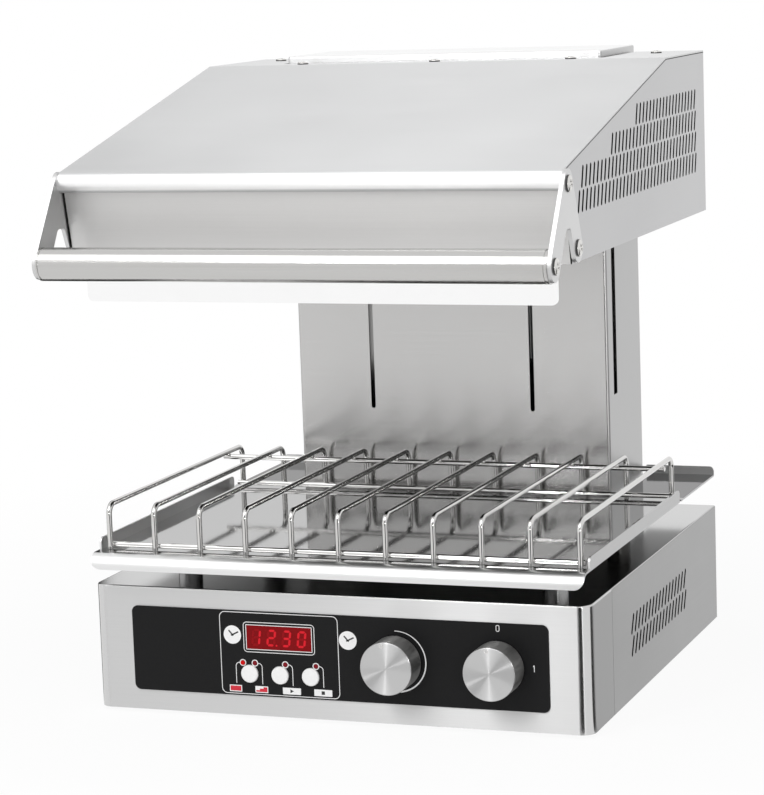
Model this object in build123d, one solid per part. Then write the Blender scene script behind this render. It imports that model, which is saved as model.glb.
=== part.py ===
"""Countertop salamander grill: base with controls, column, sliding heated head, tray and rack.

All lengths are in millimetres. X runs to the right, Y to the back and Z up. Inside the functions, Y is
measured from the base's front and Z from the table. The finished pieces are shifted together, so that the
origin lies on the table under the middle of the whole grill.
"""
from build123d import *
import math
import os

# Sheet metal and fits
sheet = 1.2
seam = 0.4
edge_radius = 1.6
overrun = 5.0
slide_gap = 0.3
press_gap = 0.02
running_gap = 0.05

# Base box
base_width = 400.0
base_depth = 391.0
base_height = 97.5
fascia_depth = 60.0
corner_radius = 10.0
floor_plate = 1.5

# Feet
foot_height = 3.0
foot_radius = 14.0
foot_inset = 34.0
foot_stud_radius = 4.0
foot_stud_length = 6.0

# Slanted vents, alike on the base and on the head
vent_length = 17.0
vent_width = 3.8
vent_pitch = 10.2
vent_row_step = 17.4
base_vent_count = 17
base_vent_rows = 2
base_vent_lean = 26.0
base_vent_start = 117.0
base_vent_low = 40.0
head_vent_lean = 17.0
head_vent_end = 33.0
head_vent_drop = 38.7
head_vent_counts = (19, 26, 34, 35)

# Control panel and what sits in it
panel_inset = 32.0
panel_height = 66.5
panel_low = 15.7
panel_thickness = 0.8
panel_corner = 5.0
timer_pitch = 94.6
window_width = 53.4
window_height = 18.8
window_middle_height = 61.8
window_fit = 0.2
lens_thickness = 2.0
button_pitch = 25.0
button_radius = 6.9
button_height = 33.0
button_proud = 1.6
button_travel = 1.0
button_gap = 0.3
button_flange = 0.6
button_flange_thickness = 1.5
button_edge = 0.6
light_radius = 1.8
light_proud = 0.6
light_height = 41.5
light_shift = 4.5
first_light_shift = 5.4

# Timer board behind the panel
board_width = 96.0
board_height = 64.0
board_thickness = 1.6
board_back = 14.0
standoff_radius = 3.0
standoff_inset = 4.5
module_width = 50.3
module_height = 19.0
switch_size = 6.0
switch_plunger_radius = 1.75
timer_opening_margin = 6.0

# Knobs and the controls behind them
knob_radius = 20.4
knob_length = 22.5
knob_gap = 1.7
knob_edge = 1.0
knob_pitch = 80.5
power_knob_inset = 39.0
knob_height = 48.8
shaft_radius = 3.0
shaft_grip = 14.0
shaft_reach = 16.0
bush_radius = 4.8
bush_proud = 0.4
bush_fit = 0.2
regulator_width = 34.0
regulator_height = 36.0
regulator_depth = 24.0
power_switch_width = 42.0
power_switch_height = 42.0
power_switch_depth = 38.0

# Electrical pieces on the base plate
transformer_size = (60.0, 48.0, 44.0)
transformer_place_share = (-0.28, 0.36)
contactor_size = (46.0, 76.0, 60.0)
contactor_place_share = (0.27, 0.5)
terminal_size = (74.0, 30.0, 26.0)
terminal_place_share = (0.27, 0.84)
component_edge = 2.0
terminal_poles = 5
terminal_screw_radius = 3.0
terminal_screw_depth = 8.0
gland_inset = 80.0
gland_height = 34.0
gland_bore_radius = 5.5
gland_body_radius = 8.0
gland_nut_radius = 11.5
gland_nut_length = 14.0
gland_inside = 9.0
loom_hole_radius = 15.0

# Column
column_depth = 101.0
column_height = 392.3
column_corner = 2.5
cap_height = 10.0
front_slot_inset = 66.0
front_slot_width = 3.8
front_slot_room = 43.0
side_slot_back = 21.0
side_slot_width = 10.5
side_slot_room = 30.0

# Guide rods, carriage and counterweight inside the column
rod_radius = 8.0
rod_inset = 41.5
rod_back = 28.0
bracket_thickness = 12.0
upper_bracket_thickness = 8.0
bracket_drop = 44.8
bracket_edge = 2.0
carriage_height = 66.0
carriage_thickness = 36.0
carriage_stop_gap = 4.0
carriage_side_gap = 2.0
arm_gap = 1.5
arm_drop = 6.0
tongue_gap = 1.0
tongue_height = 40.0
bush_wall = 4.0
bush_length = 24.0
weight_width = 120.0
weight_thickness = 30.0
weight_height = 110.0
weight_stop_gap = 6.0
weight_edge = 3.0
weight_rod_radius = 3.0
weight_rod_spacing = 96.0
weight_rod_gap = 0.1
rope_radius = 1.5
rope_spacing = 50.0
pulley_pitch_radius = 14.0
pulley_flange = 2.2
pulley_width = 9.0
axle_radius = 4.0
axle_margin = 3.0
hanger_width = 22.0
hanger_thickness = 5.0
hanger_gap = 3.0
pulley_clear = 1.5

# Head
head_width = 394.0
head_height = 133.4
head_depth = 416.0
head_back = -3.0
head_wing = 60.5
column_rise = 5.8
head_top_depth = 124.0
lip_drop = 64.0
lip_radius = 8.0
front_panel_back = 15.0
panel_flange = 14.0
notch_gap = 3.0
plate_room = 20.6

# Heater in the head
pane_thickness = 4.0
pane_margin = 30.0
pane_seat = 8.0
dish_wall = 8.0
dish_height = 26.0
dish_gap = 6.0
ribbon_thickness = 1.0
ribbon_height = 10.0
ribbon_runs = 9
ribbon_margin = 6.0
blanket_thickness = 16.0

# Deflector plate under the head's front edge
deflector_width = 372.0
deflector_height = 30.0
deflector_thickness = 1.5
deflector_corner = 5.0
deflector_flange = 14.0

# Handle
handle_radius = 12.5
handle_wall = 1.5
handle_forward = 36.5
handle_drop = 65.3
handle_groove = 0.5
handle_groove_width = 1.2
handle_groove_inset = 2.0
plug_length = 18.0
bracket_plate = 3.0
bracket_top_radius = 10.5
bracket_leg_radius = 11.5
bracket_notch_radius = 4.5
bracket_notch_rise = 19.5
bracket_top_place = (0.5, -10.5)
bracket_rear_place = (22.0, -58.5)
bracket_screw_radius = 6.2
bracket_screw_height = 2.4
bracket_screw_edge = 1.2
bracket_screw_shank = 2.5
bracket_screw_length = 10.0

# Small screws on the hood and at the back
cover_screw_radius = 4.5
cover_screw_height = 2.2
cover_screw_edge = 1.0
hood_screw_spacing = 116.0
hood_screw_inset = 16.0
wing_screw_back = 38.0
back_screw_inset = 24.0

# Tray and its posts
tray_width = 396.0
tray_front = 8.3
tray_back = 5.0
tray_sheet = 1.5
tray_height = 25.5
tray_lip = 12.0
tray_bend = 9.0
tray_corner = 8.0
rim_height = 9.0
rim_start = 18.5
rim_stop = 13.0
rim_corner = 4.0
stop_height = 7.0
tray_column_gap = 2.5
tray_relief = 5.0
post_radius = 9.5
post_spacing = 303.0
front_post_back = 77.0
rear_post_front = 34.0

# Rack
wire_radius = 2.2
wire_count = 11
wire_pitch = 38.0
rack_front = 13.0
rack_depth = 269.0
rack_height = 34.8
rack_bend = 8.0
weld = 0.6
cross_rod_rise = 0.8
upper_rod_front = 32.0
rack_rod_overhang = 3.0

# Heights and depths that follow
panel_width = base_width - 2 * panel_inset
power_knob_x = panel_width / 2 - power_knob_inset
heat_knob_x = power_knob_x - knob_pitch
timer_middle = heat_knob_x - timer_pitch
gland_x = base_width / 2 - gland_inset
column_width = head_width - 2 * head_wing
front_slot_spacing = column_width - 2 * front_slot_inset
rod_spacing = column_width - 2 * rod_inset
base_top = foot_height + base_height
column_front = base_depth - column_depth
column_top = base_top + column_height
cover_top = column_top - cap_height
head_top = column_top - column_rise
head_low = head_top - head_height
head_rear = base_depth + head_back
head_front = head_rear - head_depth
head_crease = head_rear - head_top_depth
lip_top = head_top - lip_drop
head_half = head_width / 2
head_inside = head_half - sheet
panel_foot = head_front + front_panel_back
notch_front = column_front - notch_gap
handle_y = head_front - handle_forward
handle_z = lip_top - handle_drop
tray_under = base_top + tray_height - tray_sheet
tray_top = base_top + tray_height
tray_rear = base_depth + tray_back
rod_y = column_front + rod_back
rear_rope_y = rod_y + carriage_thickness / 2 + weight_thickness / 2 + pulley_pitch_radius / 2
front_rope_y = rear_rope_y - 2 * pulley_pitch_radius
bracket_low = column_top - bracket_drop
bracket_high = bracket_low + upper_bracket_thickness
pulley_radius = pulley_pitch_radius + pulley_flange
pulley_y = rear_rope_y - pulley_pitch_radius
pulley_z = bracket_high + pulley_clear + pulley_radius
carriage_top = bracket_low - carriage_stop_gap
carriage_low = carriage_top - carriage_height
rack_top = tray_top + rack_height + wire_radius
lift_travel = head_low - deflector_height - rack_top - plate_room
carriage_lowest = carriage_low - lift_travel
weight_low = base_top + bracket_thickness + weight_stop_gap
knob_z = foot_height + knob_height
board_front = sheet + board_back
front_reach = handle_y - handle_radius
back_reach = base_depth + gland_nut_length
shift_y = -(front_reach + back_reach) / 2


def block(x, y, z):
    """A box between three (low, high) pairs."""
    sides = [high - low for low, high in (x, y, z)]
    middle = [(low + high) / 2 for low, high in (x, y, z)]
    return Pos(*middle) * Box(*sides)


def around(middle, size):
    """The (low, high) pair of a length about its middle."""
    return (middle - size / 2, middle + size / 2)


def bar_x(x, y, z, radius):
    return Pos((x[0] + x[1]) / 2, y, z) * Rot(0, 90, 0) * Cylinder(radius, x[1] - x[0])


def bar_y(x, y, z, radius):
    return Pos(x, (y[0] + y[1]) / 2, z) * Rot(90, 0, 0) * Cylinder(radius, y[1] - y[0])


def bar_z(x, y, z, radius):
    return Pos(x, y, (z[0] + z[1]) / 2) * Cylinder(radius, z[1] - z[0])


def drawn_along_x(face, x):
    """A flat (y, z) face, drawn out along X between two places."""
    upright = Plane((x[0], 0, 0), x_dir=(0, 1, 0), z_dir=(1, 0, 0))
    return extrude(upright * face, x[1] - x[0])


def edges_along(shape, axis):
    return shape.edges().filter_by(axis)


def vent_sheet(places, lean):
    """A flat pattern of slanted slots at (y, z) places."""
    slots = Sketch()
    slots += [Pos(y, z) * SlotOverall(vent_length, vent_width, rotation=90 - lean) for y, z in places]
    return slots


def save(name, *shapes):
    """Write one node, shifted so that the origin is under the middle of the grill."""
    moved = [Pos(0, shift_y, 0) * shape for shape in shapes]
    whole = moved[0] if len(moved) == 1 else Compound(children=moved)
    export_step(whole, os.path.join("parts", name + ".step"))


# Base


def cap_box(x_half, y, z, front_radius, top_radius):
    """A box with rounded upright front corners and a rounded top edge, open at the back and the bottom."""
    solid = block((-x_half, x_half), y, z)
    fronts = edges_along(solid, Axis.Z).group_by(Axis.Y)[0]
    solid = fillet(fronts, front_radius)
    if top_radius:
        rim = solid.edges().group_by(Axis.Z)[-1]
        back = rim.group_by(Axis.Y)[-1]
        solid = fillet([edge for edge in rim if edge not in back], top_radius)
    return solid


def front_fascia():
    half = base_width / 2
    outer = cap_box(half, (0, fascia_depth), (foot_height, base_top), corner_radius, edge_radius)
    inner = cap_box(half - sheet, (sheet, fascia_depth + overrun), (foot_height - overrun, base_top - sheet),
                    corner_radius - sheet, edge_radius - sheet)
    shell = outer - inner
    for x in (heat_knob_x, power_knob_x):
        shell -= bar_y(x, (-overrun, sheet + overrun), knob_z, bush_radius + bush_fit)
    opening_width = board_width - 2 * timer_opening_margin
    opening_height = board_height - 2 * timer_opening_margin
    shell -= block(around(timer_middle, opening_width), (-overrun, sheet + overrun),
                   around(timer_board_z(), opening_height))
    return shell


def base_cover():
    half = base_width / 2
    y = (fascia_depth + seam, base_depth)
    solid = block((-half, half), y, (foot_height, base_top))
    top = solid.edges().group_by(Axis.Z)[-1]
    folds = [edge for edge in top if edge not in top.group_by(Axis.Y)[0]]
    uprights = edges_along(solid, Axis.Z).group_by(Axis.Y)[-1]
    solid = fillet(folds + list(uprights), edge_radius)
    inner = block((-half + sheet, half - sheet), (y[0] - overrun, base_depth - sheet),
                  (foot_height - overrun, base_top - sheet))
    shell = solid - inner
    rows = [foot_height + base_vent_low + row * vent_row_step for row in range(base_vent_rows)]
    places = [(base_vent_start + step * vent_pitch, z) for z in rows for step in range(base_vent_count)]
    shell -= drawn_along_x(vent_sheet(places, base_vent_lean), (-half - overrun, half + overrun))
    shell -= bar_y(gland_x, (base_depth - sheet - overrun, base_depth + overrun),
                   foot_height + gland_height, gland_body_radius + press_gap)
    loom_y = column_front + column_depth / 2
    shell -= bar_z(0, loom_y, (base_top - sheet - overrun, base_top + overrun), loom_hole_radius)
    return shell


def foot_places():
    half = base_width / 2 - foot_inset
    return [(x, y) for x in (-half, half) for y in (foot_inset, base_depth - foot_inset)]


def base_plate():
    half = base_width / 2 - sheet - seam
    plate = block((-half, half), (sheet + seam, base_depth - sheet - seam),
                  (foot_height, foot_height + floor_plate))
    corners = edges_along(plate, Axis.Z).group_by(Axis.Y)[0]
    plate = fillet(corners, corner_radius - sheet)
    for x, y in foot_places():
        plate -= bar_z(x, y, (foot_height - overrun, foot_height + floor_plate + overrun),
                       foot_stud_radius + press_gap)
    return plate


def rubber_feet():
    feet = []
    for x, y in foot_places():
        pad = bar_z(x, y, (0, foot_height), foot_radius)
        pad = fillet(pad.edges().group_by(Axis.Z)[0], foot_height / 3)
        feet.append(pad + bar_z(x, y, (foot_height, foot_height + foot_stud_length), foot_stud_radius))
    return feet


# Control panel


def timer_board_z():
    """The board's middle height, half-way between the display and the buttons."""
    return foot_height + (window_middle_height + button_height) / 2


def button_places():
    return [timer_middle + step * button_pitch for step in (-1, 0, 1)]


def light_places():
    """One light above each button, and one more beside the first."""
    above = [x + light_shift for x in button_places()]
    return [button_places()[0] - first_light_shift] + above


def control_panel():
    z = foot_height + panel_low
    plate = block(around(0, panel_width), (-panel_thickness, 0), (z, z + panel_height))
    plate = fillet(edges_along(plate, Axis.Y), panel_corner)
    through = (-panel_thickness - overrun, overrun)
    plate -= block(around(timer_middle, window_width), through,
                   around(foot_height + window_middle_height, window_height))
    for x in button_places():
        plate -= bar_y(x, through, foot_height + button_height, button_radius + button_gap)
    for x in light_places():
        plate -= bar_y(x, through, foot_height + light_height, light_radius + press_gap)
    for x in (heat_knob_x, power_knob_x):
        plate -= bar_y(x, through, knob_z, bush_radius + bush_fit)
    return plate


def display_lens():
    """The red window, flush with the panel, with a rim behind it that rests on the panel's back."""
    z = foot_height + window_middle_height
    front = block(around(timer_middle, window_width - window_fit), (-panel_thickness, 0),
                  around(z, window_height - window_fit))
    rim = block(around(timer_middle, window_width + lens_thickness), (0, lens_thickness),
                around(z, window_height + lens_thickness))
    return front + rim


def display_module():
    """The digit block, from the lens back to the board."""
    z = foot_height + window_middle_height
    return block(around(timer_middle, module_width), (lens_thickness, board_front), around(z, module_height))


def timer_board():
    board = block(around(timer_middle, board_width), (board_front, board_front + board_thickness),
                  around(timer_board_z(), board_height))
    for x, z in standoff_places():
        board -= bar_y(x, (board_front - overrun, board_front + board_thickness + overrun), z,
                       standoff_radius / 2)
    return board


def standoff_places():
    wide = board_width / 2 - standoff_inset
    high = board_height / 2 - standoff_inset
    return [(timer_middle + x, timer_board_z() + z) for x in (-wide, wide) for z in (-high, high)]


def board_standoffs():
    posts = []
    for x, z in standoff_places():
        post = bar_y(x, (sheet, board_front), z, standoff_radius)
        screw = bar_y(x, (board_front, board_front + board_thickness), z, standoff_radius / 2 - press_gap)
        posts.append(post + screw)
    return posts


def button_back():
    """Where a button's stem ends at rest: one travel and a small gap in front of its switch."""
    return board_front - switch_size - button_travel - slide_gap


def push_button(x):
    z = foot_height + button_height
    body = bar_y(x, (-panel_thickness - button_proud, button_back()), z, button_radius)
    body = chamfer(body.edges().group_by(Axis.Y)[0], button_edge)
    flange = bar_y(x, (slide_gap, slide_gap + button_flange_thickness), z, button_radius + button_flange)
    return body + flange


def button_switches():
    z = foot_height + button_height
    switches = []
    for x in button_places():
        middle = board_front - switch_size / 2
        body = block(around(x, switch_size), (middle, board_front), around(z, switch_size))
        plunger = bar_y(x, (board_front - switch_size, middle), z, switch_plunger_radius)
        switches.append(body + plunger)
    return switches


def indicator_lights():
    z = foot_height + light_height
    lights = []
    for x in light_places():
        body = bar_y(x, (-panel_thickness - light_proud, board_front), z, light_radius)
        lights.append(fillet(body.edges().group_by(Axis.Y)[0], light_proud))
    return lights


def rotary_control(x, width, height, depth):
    """A control block behind the fascia, with a bush that reaches through the panel."""
    body = block(around(x, width), (sheet, sheet + depth), around(knob_z, height))
    body = fillet(edges_along(body, Axis.Y), component_edge)
    bush = bar_y(x, (-panel_thickness - bush_proud, sheet), knob_z, bush_radius)
    hole = bar_y(x, (-panel_thickness - overrun, shaft_reach + running_gap), knob_z,
                 shaft_radius + running_gap)
    return body + bush - hole


def control_shaft(x):
    knob_back = -panel_thickness - knob_gap
    shaft = bar_y(x, (knob_back - shaft_grip, shaft_reach), knob_z, shaft_radius)
    flat = block(around(x, 2 * shaft_radius), (knob_back - shaft_grip - overrun, knob_back),
                 (knob_z + shaft_radius / 2, knob_z + 2 * shaft_radius))
    return shaft - flat


def control_knob(x):
    back = -panel_thickness - knob_gap
    body = bar_y(x, (back - knob_length, back), knob_z, knob_radius)
    body = fillet(body.edges().group_by(Axis.Y)[0], knob_edge)
    body = chamfer(body.edges().group_by(Axis.Y)[-1], knob_edge)
    socket = bar_y(x, (back - shaft_grip, back + overrun), knob_z, shaft_radius + press_gap)
    flat = block(around(x, 2 * shaft_radius), (back - shaft_grip, back),
                 (knob_z + shaft_radius / 2 + press_gap, knob_z + 2 * shaft_radius))
    return body - (socket - flat)


# Electrical pieces in the base


def on_base_plate(size, place_share):
    """A box on the base plate: its middle is placed by shares of the base's width and depth."""
    x = place_share[0] * base_width
    y = place_share[1] * base_depth
    low = foot_height + floor_plate
    solid = block(around(x, size[0]), around(y, size[1]), (low, low + size[2]))
    return fillet(edges_along(solid, Axis.Z), component_edge)


def transformer():
    """A flat core with a winding through its middle."""
    core = on_base_plate((transformer_size[0], transformer_size[1] / 2, transformer_size[2]),
                         transformer_place_share)
    winding = on_base_plate((transformer_size[0] / 2, transformer_size[1], transformer_size[2] * 3 / 4),
                            transformer_place_share)
    return core + winding


def contactor():
    wide = on_base_plate((contactor_size[0], contactor_size[1], contactor_size[2] / 2), contactor_place_share)
    tall = on_base_plate((contactor_size[0], contactor_size[1] / 2, contactor_size[2]), contactor_place_share)
    return wide + tall


def terminal_block():
    solid = on_base_plate(terminal_size, terminal_place_share)
    x = terminal_place_share[0] * base_width
    y = terminal_place_share[1] * base_depth
    top = foot_height + floor_plate + terminal_size[2]
    step = terminal_size[0] / terminal_poles
    for pole in range(terminal_poles):
        pole_x = x + (pole - (terminal_poles - 1) / 2) * step
        solid -= bar_z(pole_x, y, (top - terminal_screw_depth, top + overrun), terminal_screw_radius)
    return solid


def cable_gland():
    z = foot_height + gland_height
    hexagon = extrude(RegularPolygon(gland_nut_radius, 6), gland_nut_length)
    nut = Pos(gland_x, base_depth, z) * Rot(-90, 0, 0) * hexagon
    nut = chamfer(nut.edges().group_by(Axis.Y)[-1], edge_radius)
    body = bar_y(gland_x, (base_depth - sheet - gland_inside, base_depth), z, gland_body_radius)
    lock = bar_y(gland_x, (base_depth - sheet - gland_inside / 2, base_depth - sheet), z, gland_nut_radius)
    bore = bar_y(gland_x, (base_depth - sheet - gland_inside - overrun, back_reach + overrun), z,
                 gland_bore_radius)
    return nut + body + lock - bore


# Tray and rack


def post_places():
    half = post_spacing / 2
    rear = column_front - rear_post_front
    return [(x, y) for x in (-half, half) for y in (front_post_back, rear)]


def tray_posts():
    return [bar_z(x, y, (base_top, tray_under - slide_gap), post_radius) for x, y in post_places()]


def lip_corner(side):
    """What is cut off a lower corner of the tray's front lip to round it."""
    outer = side * tray_width / 2
    middle = outer - side * tray_corner
    y = (-tray_front - overrun, tray_bend - tray_front)
    low = tray_top - tray_lip
    corner = block(sorted((middle, outer + side * overrun)), y, (low - overrun, low + tray_corner))
    return corner - bar_y(middle, y, low + tray_corner, tray_corner)


def drip_tray():
    half = tray_width / 2
    front = -tray_front
    middle = tray_top - tray_sheet / 2
    path = FilletPolyline((tray_rear, middle), (front + tray_sheet / 2, middle),
                          (front + tray_sheet / 2, tray_top - tray_lip), radius=tray_bend)
    floor = drawn_along_x(trace(path, tray_sheet), (-half, half))
    floor -= [lip_corner(side) for side in (-1, 1)]
    notch_half = column_width / 2 + tray_column_gap
    floor -= block((-notch_half, notch_half), (column_front - tray_column_gap, tray_rear + overrun),
                   (base_top, tray_top + overrun))
    rim_high = tray_top + rim_height
    rim_end = column_front - rim_stop
    tray = floor
    for side in (-1, 1):
        x = sorted((side * half, side * (half - tray_sheet)))
        rim = block(x, (front + rim_start, rim_end), (tray_under, rim_high))
        rim = fillet(edges_along(rim, Axis.X).group_by(Axis.Z)[-1], rim_corner)
        tray += rim
        tray -= block(sorted((side * (half - tray_relief), side * (half + overrun))),
                      (rim_end, rim_end + tray_relief), (base_top, rim_high))
        wing = sorted((side * notch_half, side * half))
        stop = block(wing, (tray_rear - tray_sheet, tray_rear), (tray_under, tray_top + stop_height))
        outer = edges_along(stop, Axis.Y).group_by(Axis.Z)[-1].sort_by(Axis.X)[-1 if side > 0 else 0]
        tray += fillet(outer, rim_corner)
    return tray


def wire_x():
    first = -(wire_count - 1) / 2 * wire_pitch
    return [first + step * wire_pitch for step in range(wire_count)]


def bent_wire(x):
    low = tray_top + slide_gap
    high = tray_top + rack_height
    rear = rack_front + rack_depth
    path = FilletPolyline((x, rack_front, low), (x, rack_front, high), (x, rear, high), (x, rear, low),
                          radius=rack_bend)
    return sweep(Plane((x, rack_front, low)) * Circle(wire_radius), path=path)


def wire_rack():
    """Bent wires welded to three cross rods."""
    reach = wire_x()[-1] + rack_rod_overhang
    rear = rack_front + rack_depth
    beside = 2 * wire_radius - weld
    low = tray_top + slide_gap + wire_radius + cross_rod_rise
    high = tray_top + rack_height
    rods = [bar_x((-reach, reach), rack_front + beside, low, wire_radius),
            bar_x((-reach, reach), rear - beside, low, wire_radius),
            bar_x((-reach, reach), rear - upper_rod_front, high - beside, wire_radius)]
    wires = [bent_wire(x) for x in wire_x()]
    return wires[0].fuse(*wires[1:], *rods)


# Column and what it holds


def column_cover():
    half = column_width / 2
    solid = block((-half, half), (column_front, base_depth), (base_top, cover_top - seam))
    solid = fillet(edges_along(solid, Axis.Z).group_by(Axis.Y)[0], column_corner)
    inner = block((-half + sheet, half - sheet), (column_front + sheet, base_depth + overrun),
                  (base_top - overrun, cover_top + overrun))
    inner = fillet(edges_along(inner, Axis.Z).group_by(Axis.Y)[0], column_corner - sheet)
    shell = solid - inner
    high = carriage_top + carriage_stop_gap
    for side in (-1, 1):
        slot = block(around(side * front_slot_spacing / 2, front_slot_width),
                     (column_front - overrun, column_front + column_corner + overrun),
                     (carriage_lowest - front_slot_room, high))
        shell -= fillet(edges_along(slot, Axis.Y).group_by(Axis.Z)[0], front_slot_width / 2 - press_gap)
    shell -= block((-half - overrun, half + overrun), around(column_front + side_slot_back, side_slot_width),
                   (carriage_lowest - side_slot_room, high))
    return shell


def column_back():
    half = column_width / 2 - sheet
    return block((-half, half), (base_depth - sheet, base_depth), (base_top, cover_top - seam))


def column_cap():
    half = column_width / 2
    solid = block((-half, half), (column_front, base_depth), (cover_top, column_top))
    solid = fillet(edges_along(solid, Axis.Z).group_by(Axis.Y)[0], column_corner)
    solid = fillet(solid.edges().group_by(Axis.Z)[-1], edge_radius)
    inner = block((-half + sheet, half - sheet), (column_front + sheet, base_depth - sheet),
                  (cover_top - overrun, column_top - sheet))
    return solid - inner


def rod_places():
    return [(-rod_spacing / 2, rod_y), (rod_spacing / 2, rod_y)]


def weight_rod_places():
    return [(-weight_rod_spacing / 2, rear_rope_y), (weight_rod_spacing / 2, rear_rope_y)]


def rope_x():
    return (-rope_spacing / 2, rope_spacing / 2)


def rod_bracket(low, high):
    """A plate across the inside of the column, bored for both pairs of rods."""
    half = column_width / 2 - sheet
    plate = block((-half, half), (column_front + sheet + seam, base_depth - sheet), (low, high))
    plate = fillet(edges_along(plate, Axis.Z), bracket_edge)
    for x, y in rod_places():
        plate -= bar_z(x, y, (low - overrun, high + overrun), rod_radius + press_gap)
    for x, y in weight_rod_places():
        plate -= bar_z(x, y, (low - overrun, high + overrun), weight_rod_radius + press_gap)
    return plate


def lower_rod_bracket():
    plate = rod_bracket(base_top, base_top + bracket_thickness)
    loom_y = column_front + column_depth / 2
    through = (base_top - overrun, base_top + bracket_thickness + overrun)
    return plate - bar_z(0, loom_y, through, loom_hole_radius)


def upper_rod_bracket():
    """The upper plate also has two slots, for the ropes and the wheels above it."""
    plate = rod_bracket(bracket_low, bracket_high)
    for x in rope_x():
        plate -= block(around(x, pulley_width), around(pulley_y, 2 * pulley_radius + 2 * pulley_clear),
                       (bracket_low - overrun, bracket_high + overrun))
    return plate


def guide_rods():
    return [bar_z(x, y, (base_top, bracket_high), rod_radius) for x, y in rod_places()]


def weight_rods():
    return [bar_z(x, y, (base_top, bracket_high), weight_rod_radius) for x, y in weight_rod_places()]


def carriage():
    """A block on the guide rods, with arms through the column's side slots and tongues through its front."""
    half = column_width / 2 - sheet - carriage_side_gap
    y = around(rod_y, carriage_thickness)
    body = block((-half, half), y, (carriage_low, carriage_top))
    body = fillet(edges_along(body, Axis.Z), edge_radius)
    arm_y = around(column_front + side_slot_back, side_slot_width - 2 * arm_gap)
    body += block((-head_inside, head_inside), arm_y, (carriage_low, carriage_top - arm_drop))
    for side in (-1, 1):
        tongue_x = around(side * front_slot_spacing / 2, front_slot_width - 2 * tongue_gap)
        body += block(tongue_x, (notch_front, y[1]), (carriage_low, carriage_low + tongue_height))
    for x, rod in rod_places():
        body -= bar_z(x, rod, (carriage_low - overrun, carriage_top + overrun),
                      rod_radius + bush_wall + press_gap)
    return body


def carriage_bushes():
    bushes = []
    for x, y in rod_places():
        for low in (carriage_low, carriage_top - bush_length):
            z = (low, low + bush_length)
            cut = (low - overrun, low + bush_length + overrun)
            bore = bar_z(x, y, cut, rod_radius + running_gap)
            bushes.append(bar_z(x, y, z, rod_radius + bush_wall) - bore)
    return bushes


def counterweight():
    y = around(rear_rope_y, weight_thickness)
    solid = block(around(0, weight_width), y, (weight_low, weight_low + weight_height))
    solid = fillet(edges_along(solid, Axis.Z), weight_edge)
    for x, rod in weight_rod_places():
        solid -= bar_z(x, rod, (weight_low - overrun, weight_low + weight_height + overrun),
                       weight_rod_radius + weight_rod_gap)
    return solid


def lift_ropes():
    return [bar_z(x, front_rope_y, (carriage_top, pulley_z), rope_radius) for x in rope_x()]


def weight_ropes():
    return [bar_z(x, rear_rope_y, (weight_low + weight_height, pulley_z), rope_radius) for x in rope_x()]


def rope_wraps():
    """The half turn of each rope over its wheel."""
    wraps = []
    for x in rope_x():
        path = ThreePointArc((x, front_rope_y, pulley_z), (x, pulley_y, pulley_z + pulley_pitch_radius),
                             (x, rear_rope_y, pulley_z))
        wraps.append(sweep(Plane((x, front_rope_y, pulley_z)) * Circle(rope_radius), path=path))
    return wraps


def hanger_x():
    return rope_spacing / 2 + pulley_width / 2 + hanger_gap


def pulley_spindle():
    """An axle turned in one piece with two grooved wheels."""
    reach = hanger_x() + hanger_thickness + axle_margin
    spindle = bar_x((-reach, reach), pulley_y, pulley_z, axle_radius)
    for x in rope_x():
        wheel = bar_x(around(x, pulley_width - 2 * pulley_clear), pulley_y, pulley_z, pulley_radius)
        groove_x = around(x, 2 * (rope_radius + slide_gap))
        ring = bar_x(groove_x, pulley_y, pulley_z, pulley_radius + overrun)
        ring -= bar_x(groove_x, pulley_y, pulley_z, pulley_pitch_radius - rope_radius - slide_gap)
        spindle += wheel - ring
    return spindle


def pulley_hangers():
    """Two upright plates on the upper bracket, bored for the axle."""
    hangers = []
    for side in (-1, 1):
        x = sorted((side * hanger_x(), side * (hanger_x() + hanger_thickness)))
        plate = block(x, around(pulley_y, hanger_width), (bracket_high, pulley_z + hanger_width / 2))
        plate = fillet(edges_along(plate, Axis.X).group_by(Axis.Z)[-1], hanger_width / 3)
        cut = (x[0] - overrun, x[1] + overrun)
        hangers.append(plate - bar_x(cut, pulley_y, pulley_z, axle_radius + running_gap))
    return hangers


# Head


def lip_middle():
    """The middle of the rolled lip's circle, which touches the hood's slope at its lower edge."""
    slope = math.atan2(lip_drop, head_crease - head_front)
    return (head_front + lip_radius * math.sin(slope), lip_top - lip_radius * math.cos(slope)), slope


def lip_point(angle, radius):
    """A point on the lip's circle, with the angle in degrees from the back towards the top."""
    (y, z), _ = lip_middle()
    turn = math.radians(angle)
    return (y + radius * math.cos(turn), z + radius * math.sin(turn))


def panel_point(along, inward):
    """A point by the front panel: along it from the lip's middle, and inward from its outer face."""
    (y, z), _ = lip_middle()
    lean = math.atan2(panel_foot - y, z - head_low)
    return (y + along * math.sin(lean) + inward * math.cos(lean),
            z - along * math.cos(lean) + inward * math.sin(lean))


def panel_length(low, inward):
    """How far along the front panel a height lies."""
    top = panel_point(0, inward)[1]
    return (top - low) / (top - panel_point(1, inward)[1])


def head_outline(inset):
    """The head's whole side view, drawn in by an inset: top, slope, rolled lip, front panel, bottom and back."""
    slope = lip_middle()[1]
    radius = lip_radius - inset
    start = lip_point(90 + math.degrees(slope), radius)
    end = panel_point(math.sqrt(radius ** 2 - inset ** 2), inset)
    low = head_low + inset
    rear = head_rear - inset
    top = head_top - inset
    nose = ThreePointArc(start, lip_point(180, radius), end)
    rest = Polyline(end, panel_point(panel_length(low, inset), inset), (rear, low), (rear, top),
                    (head_crease + inset * math.tan(slope / 2), top), start)
    return make_face(Curve() + [nose, rest])


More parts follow.
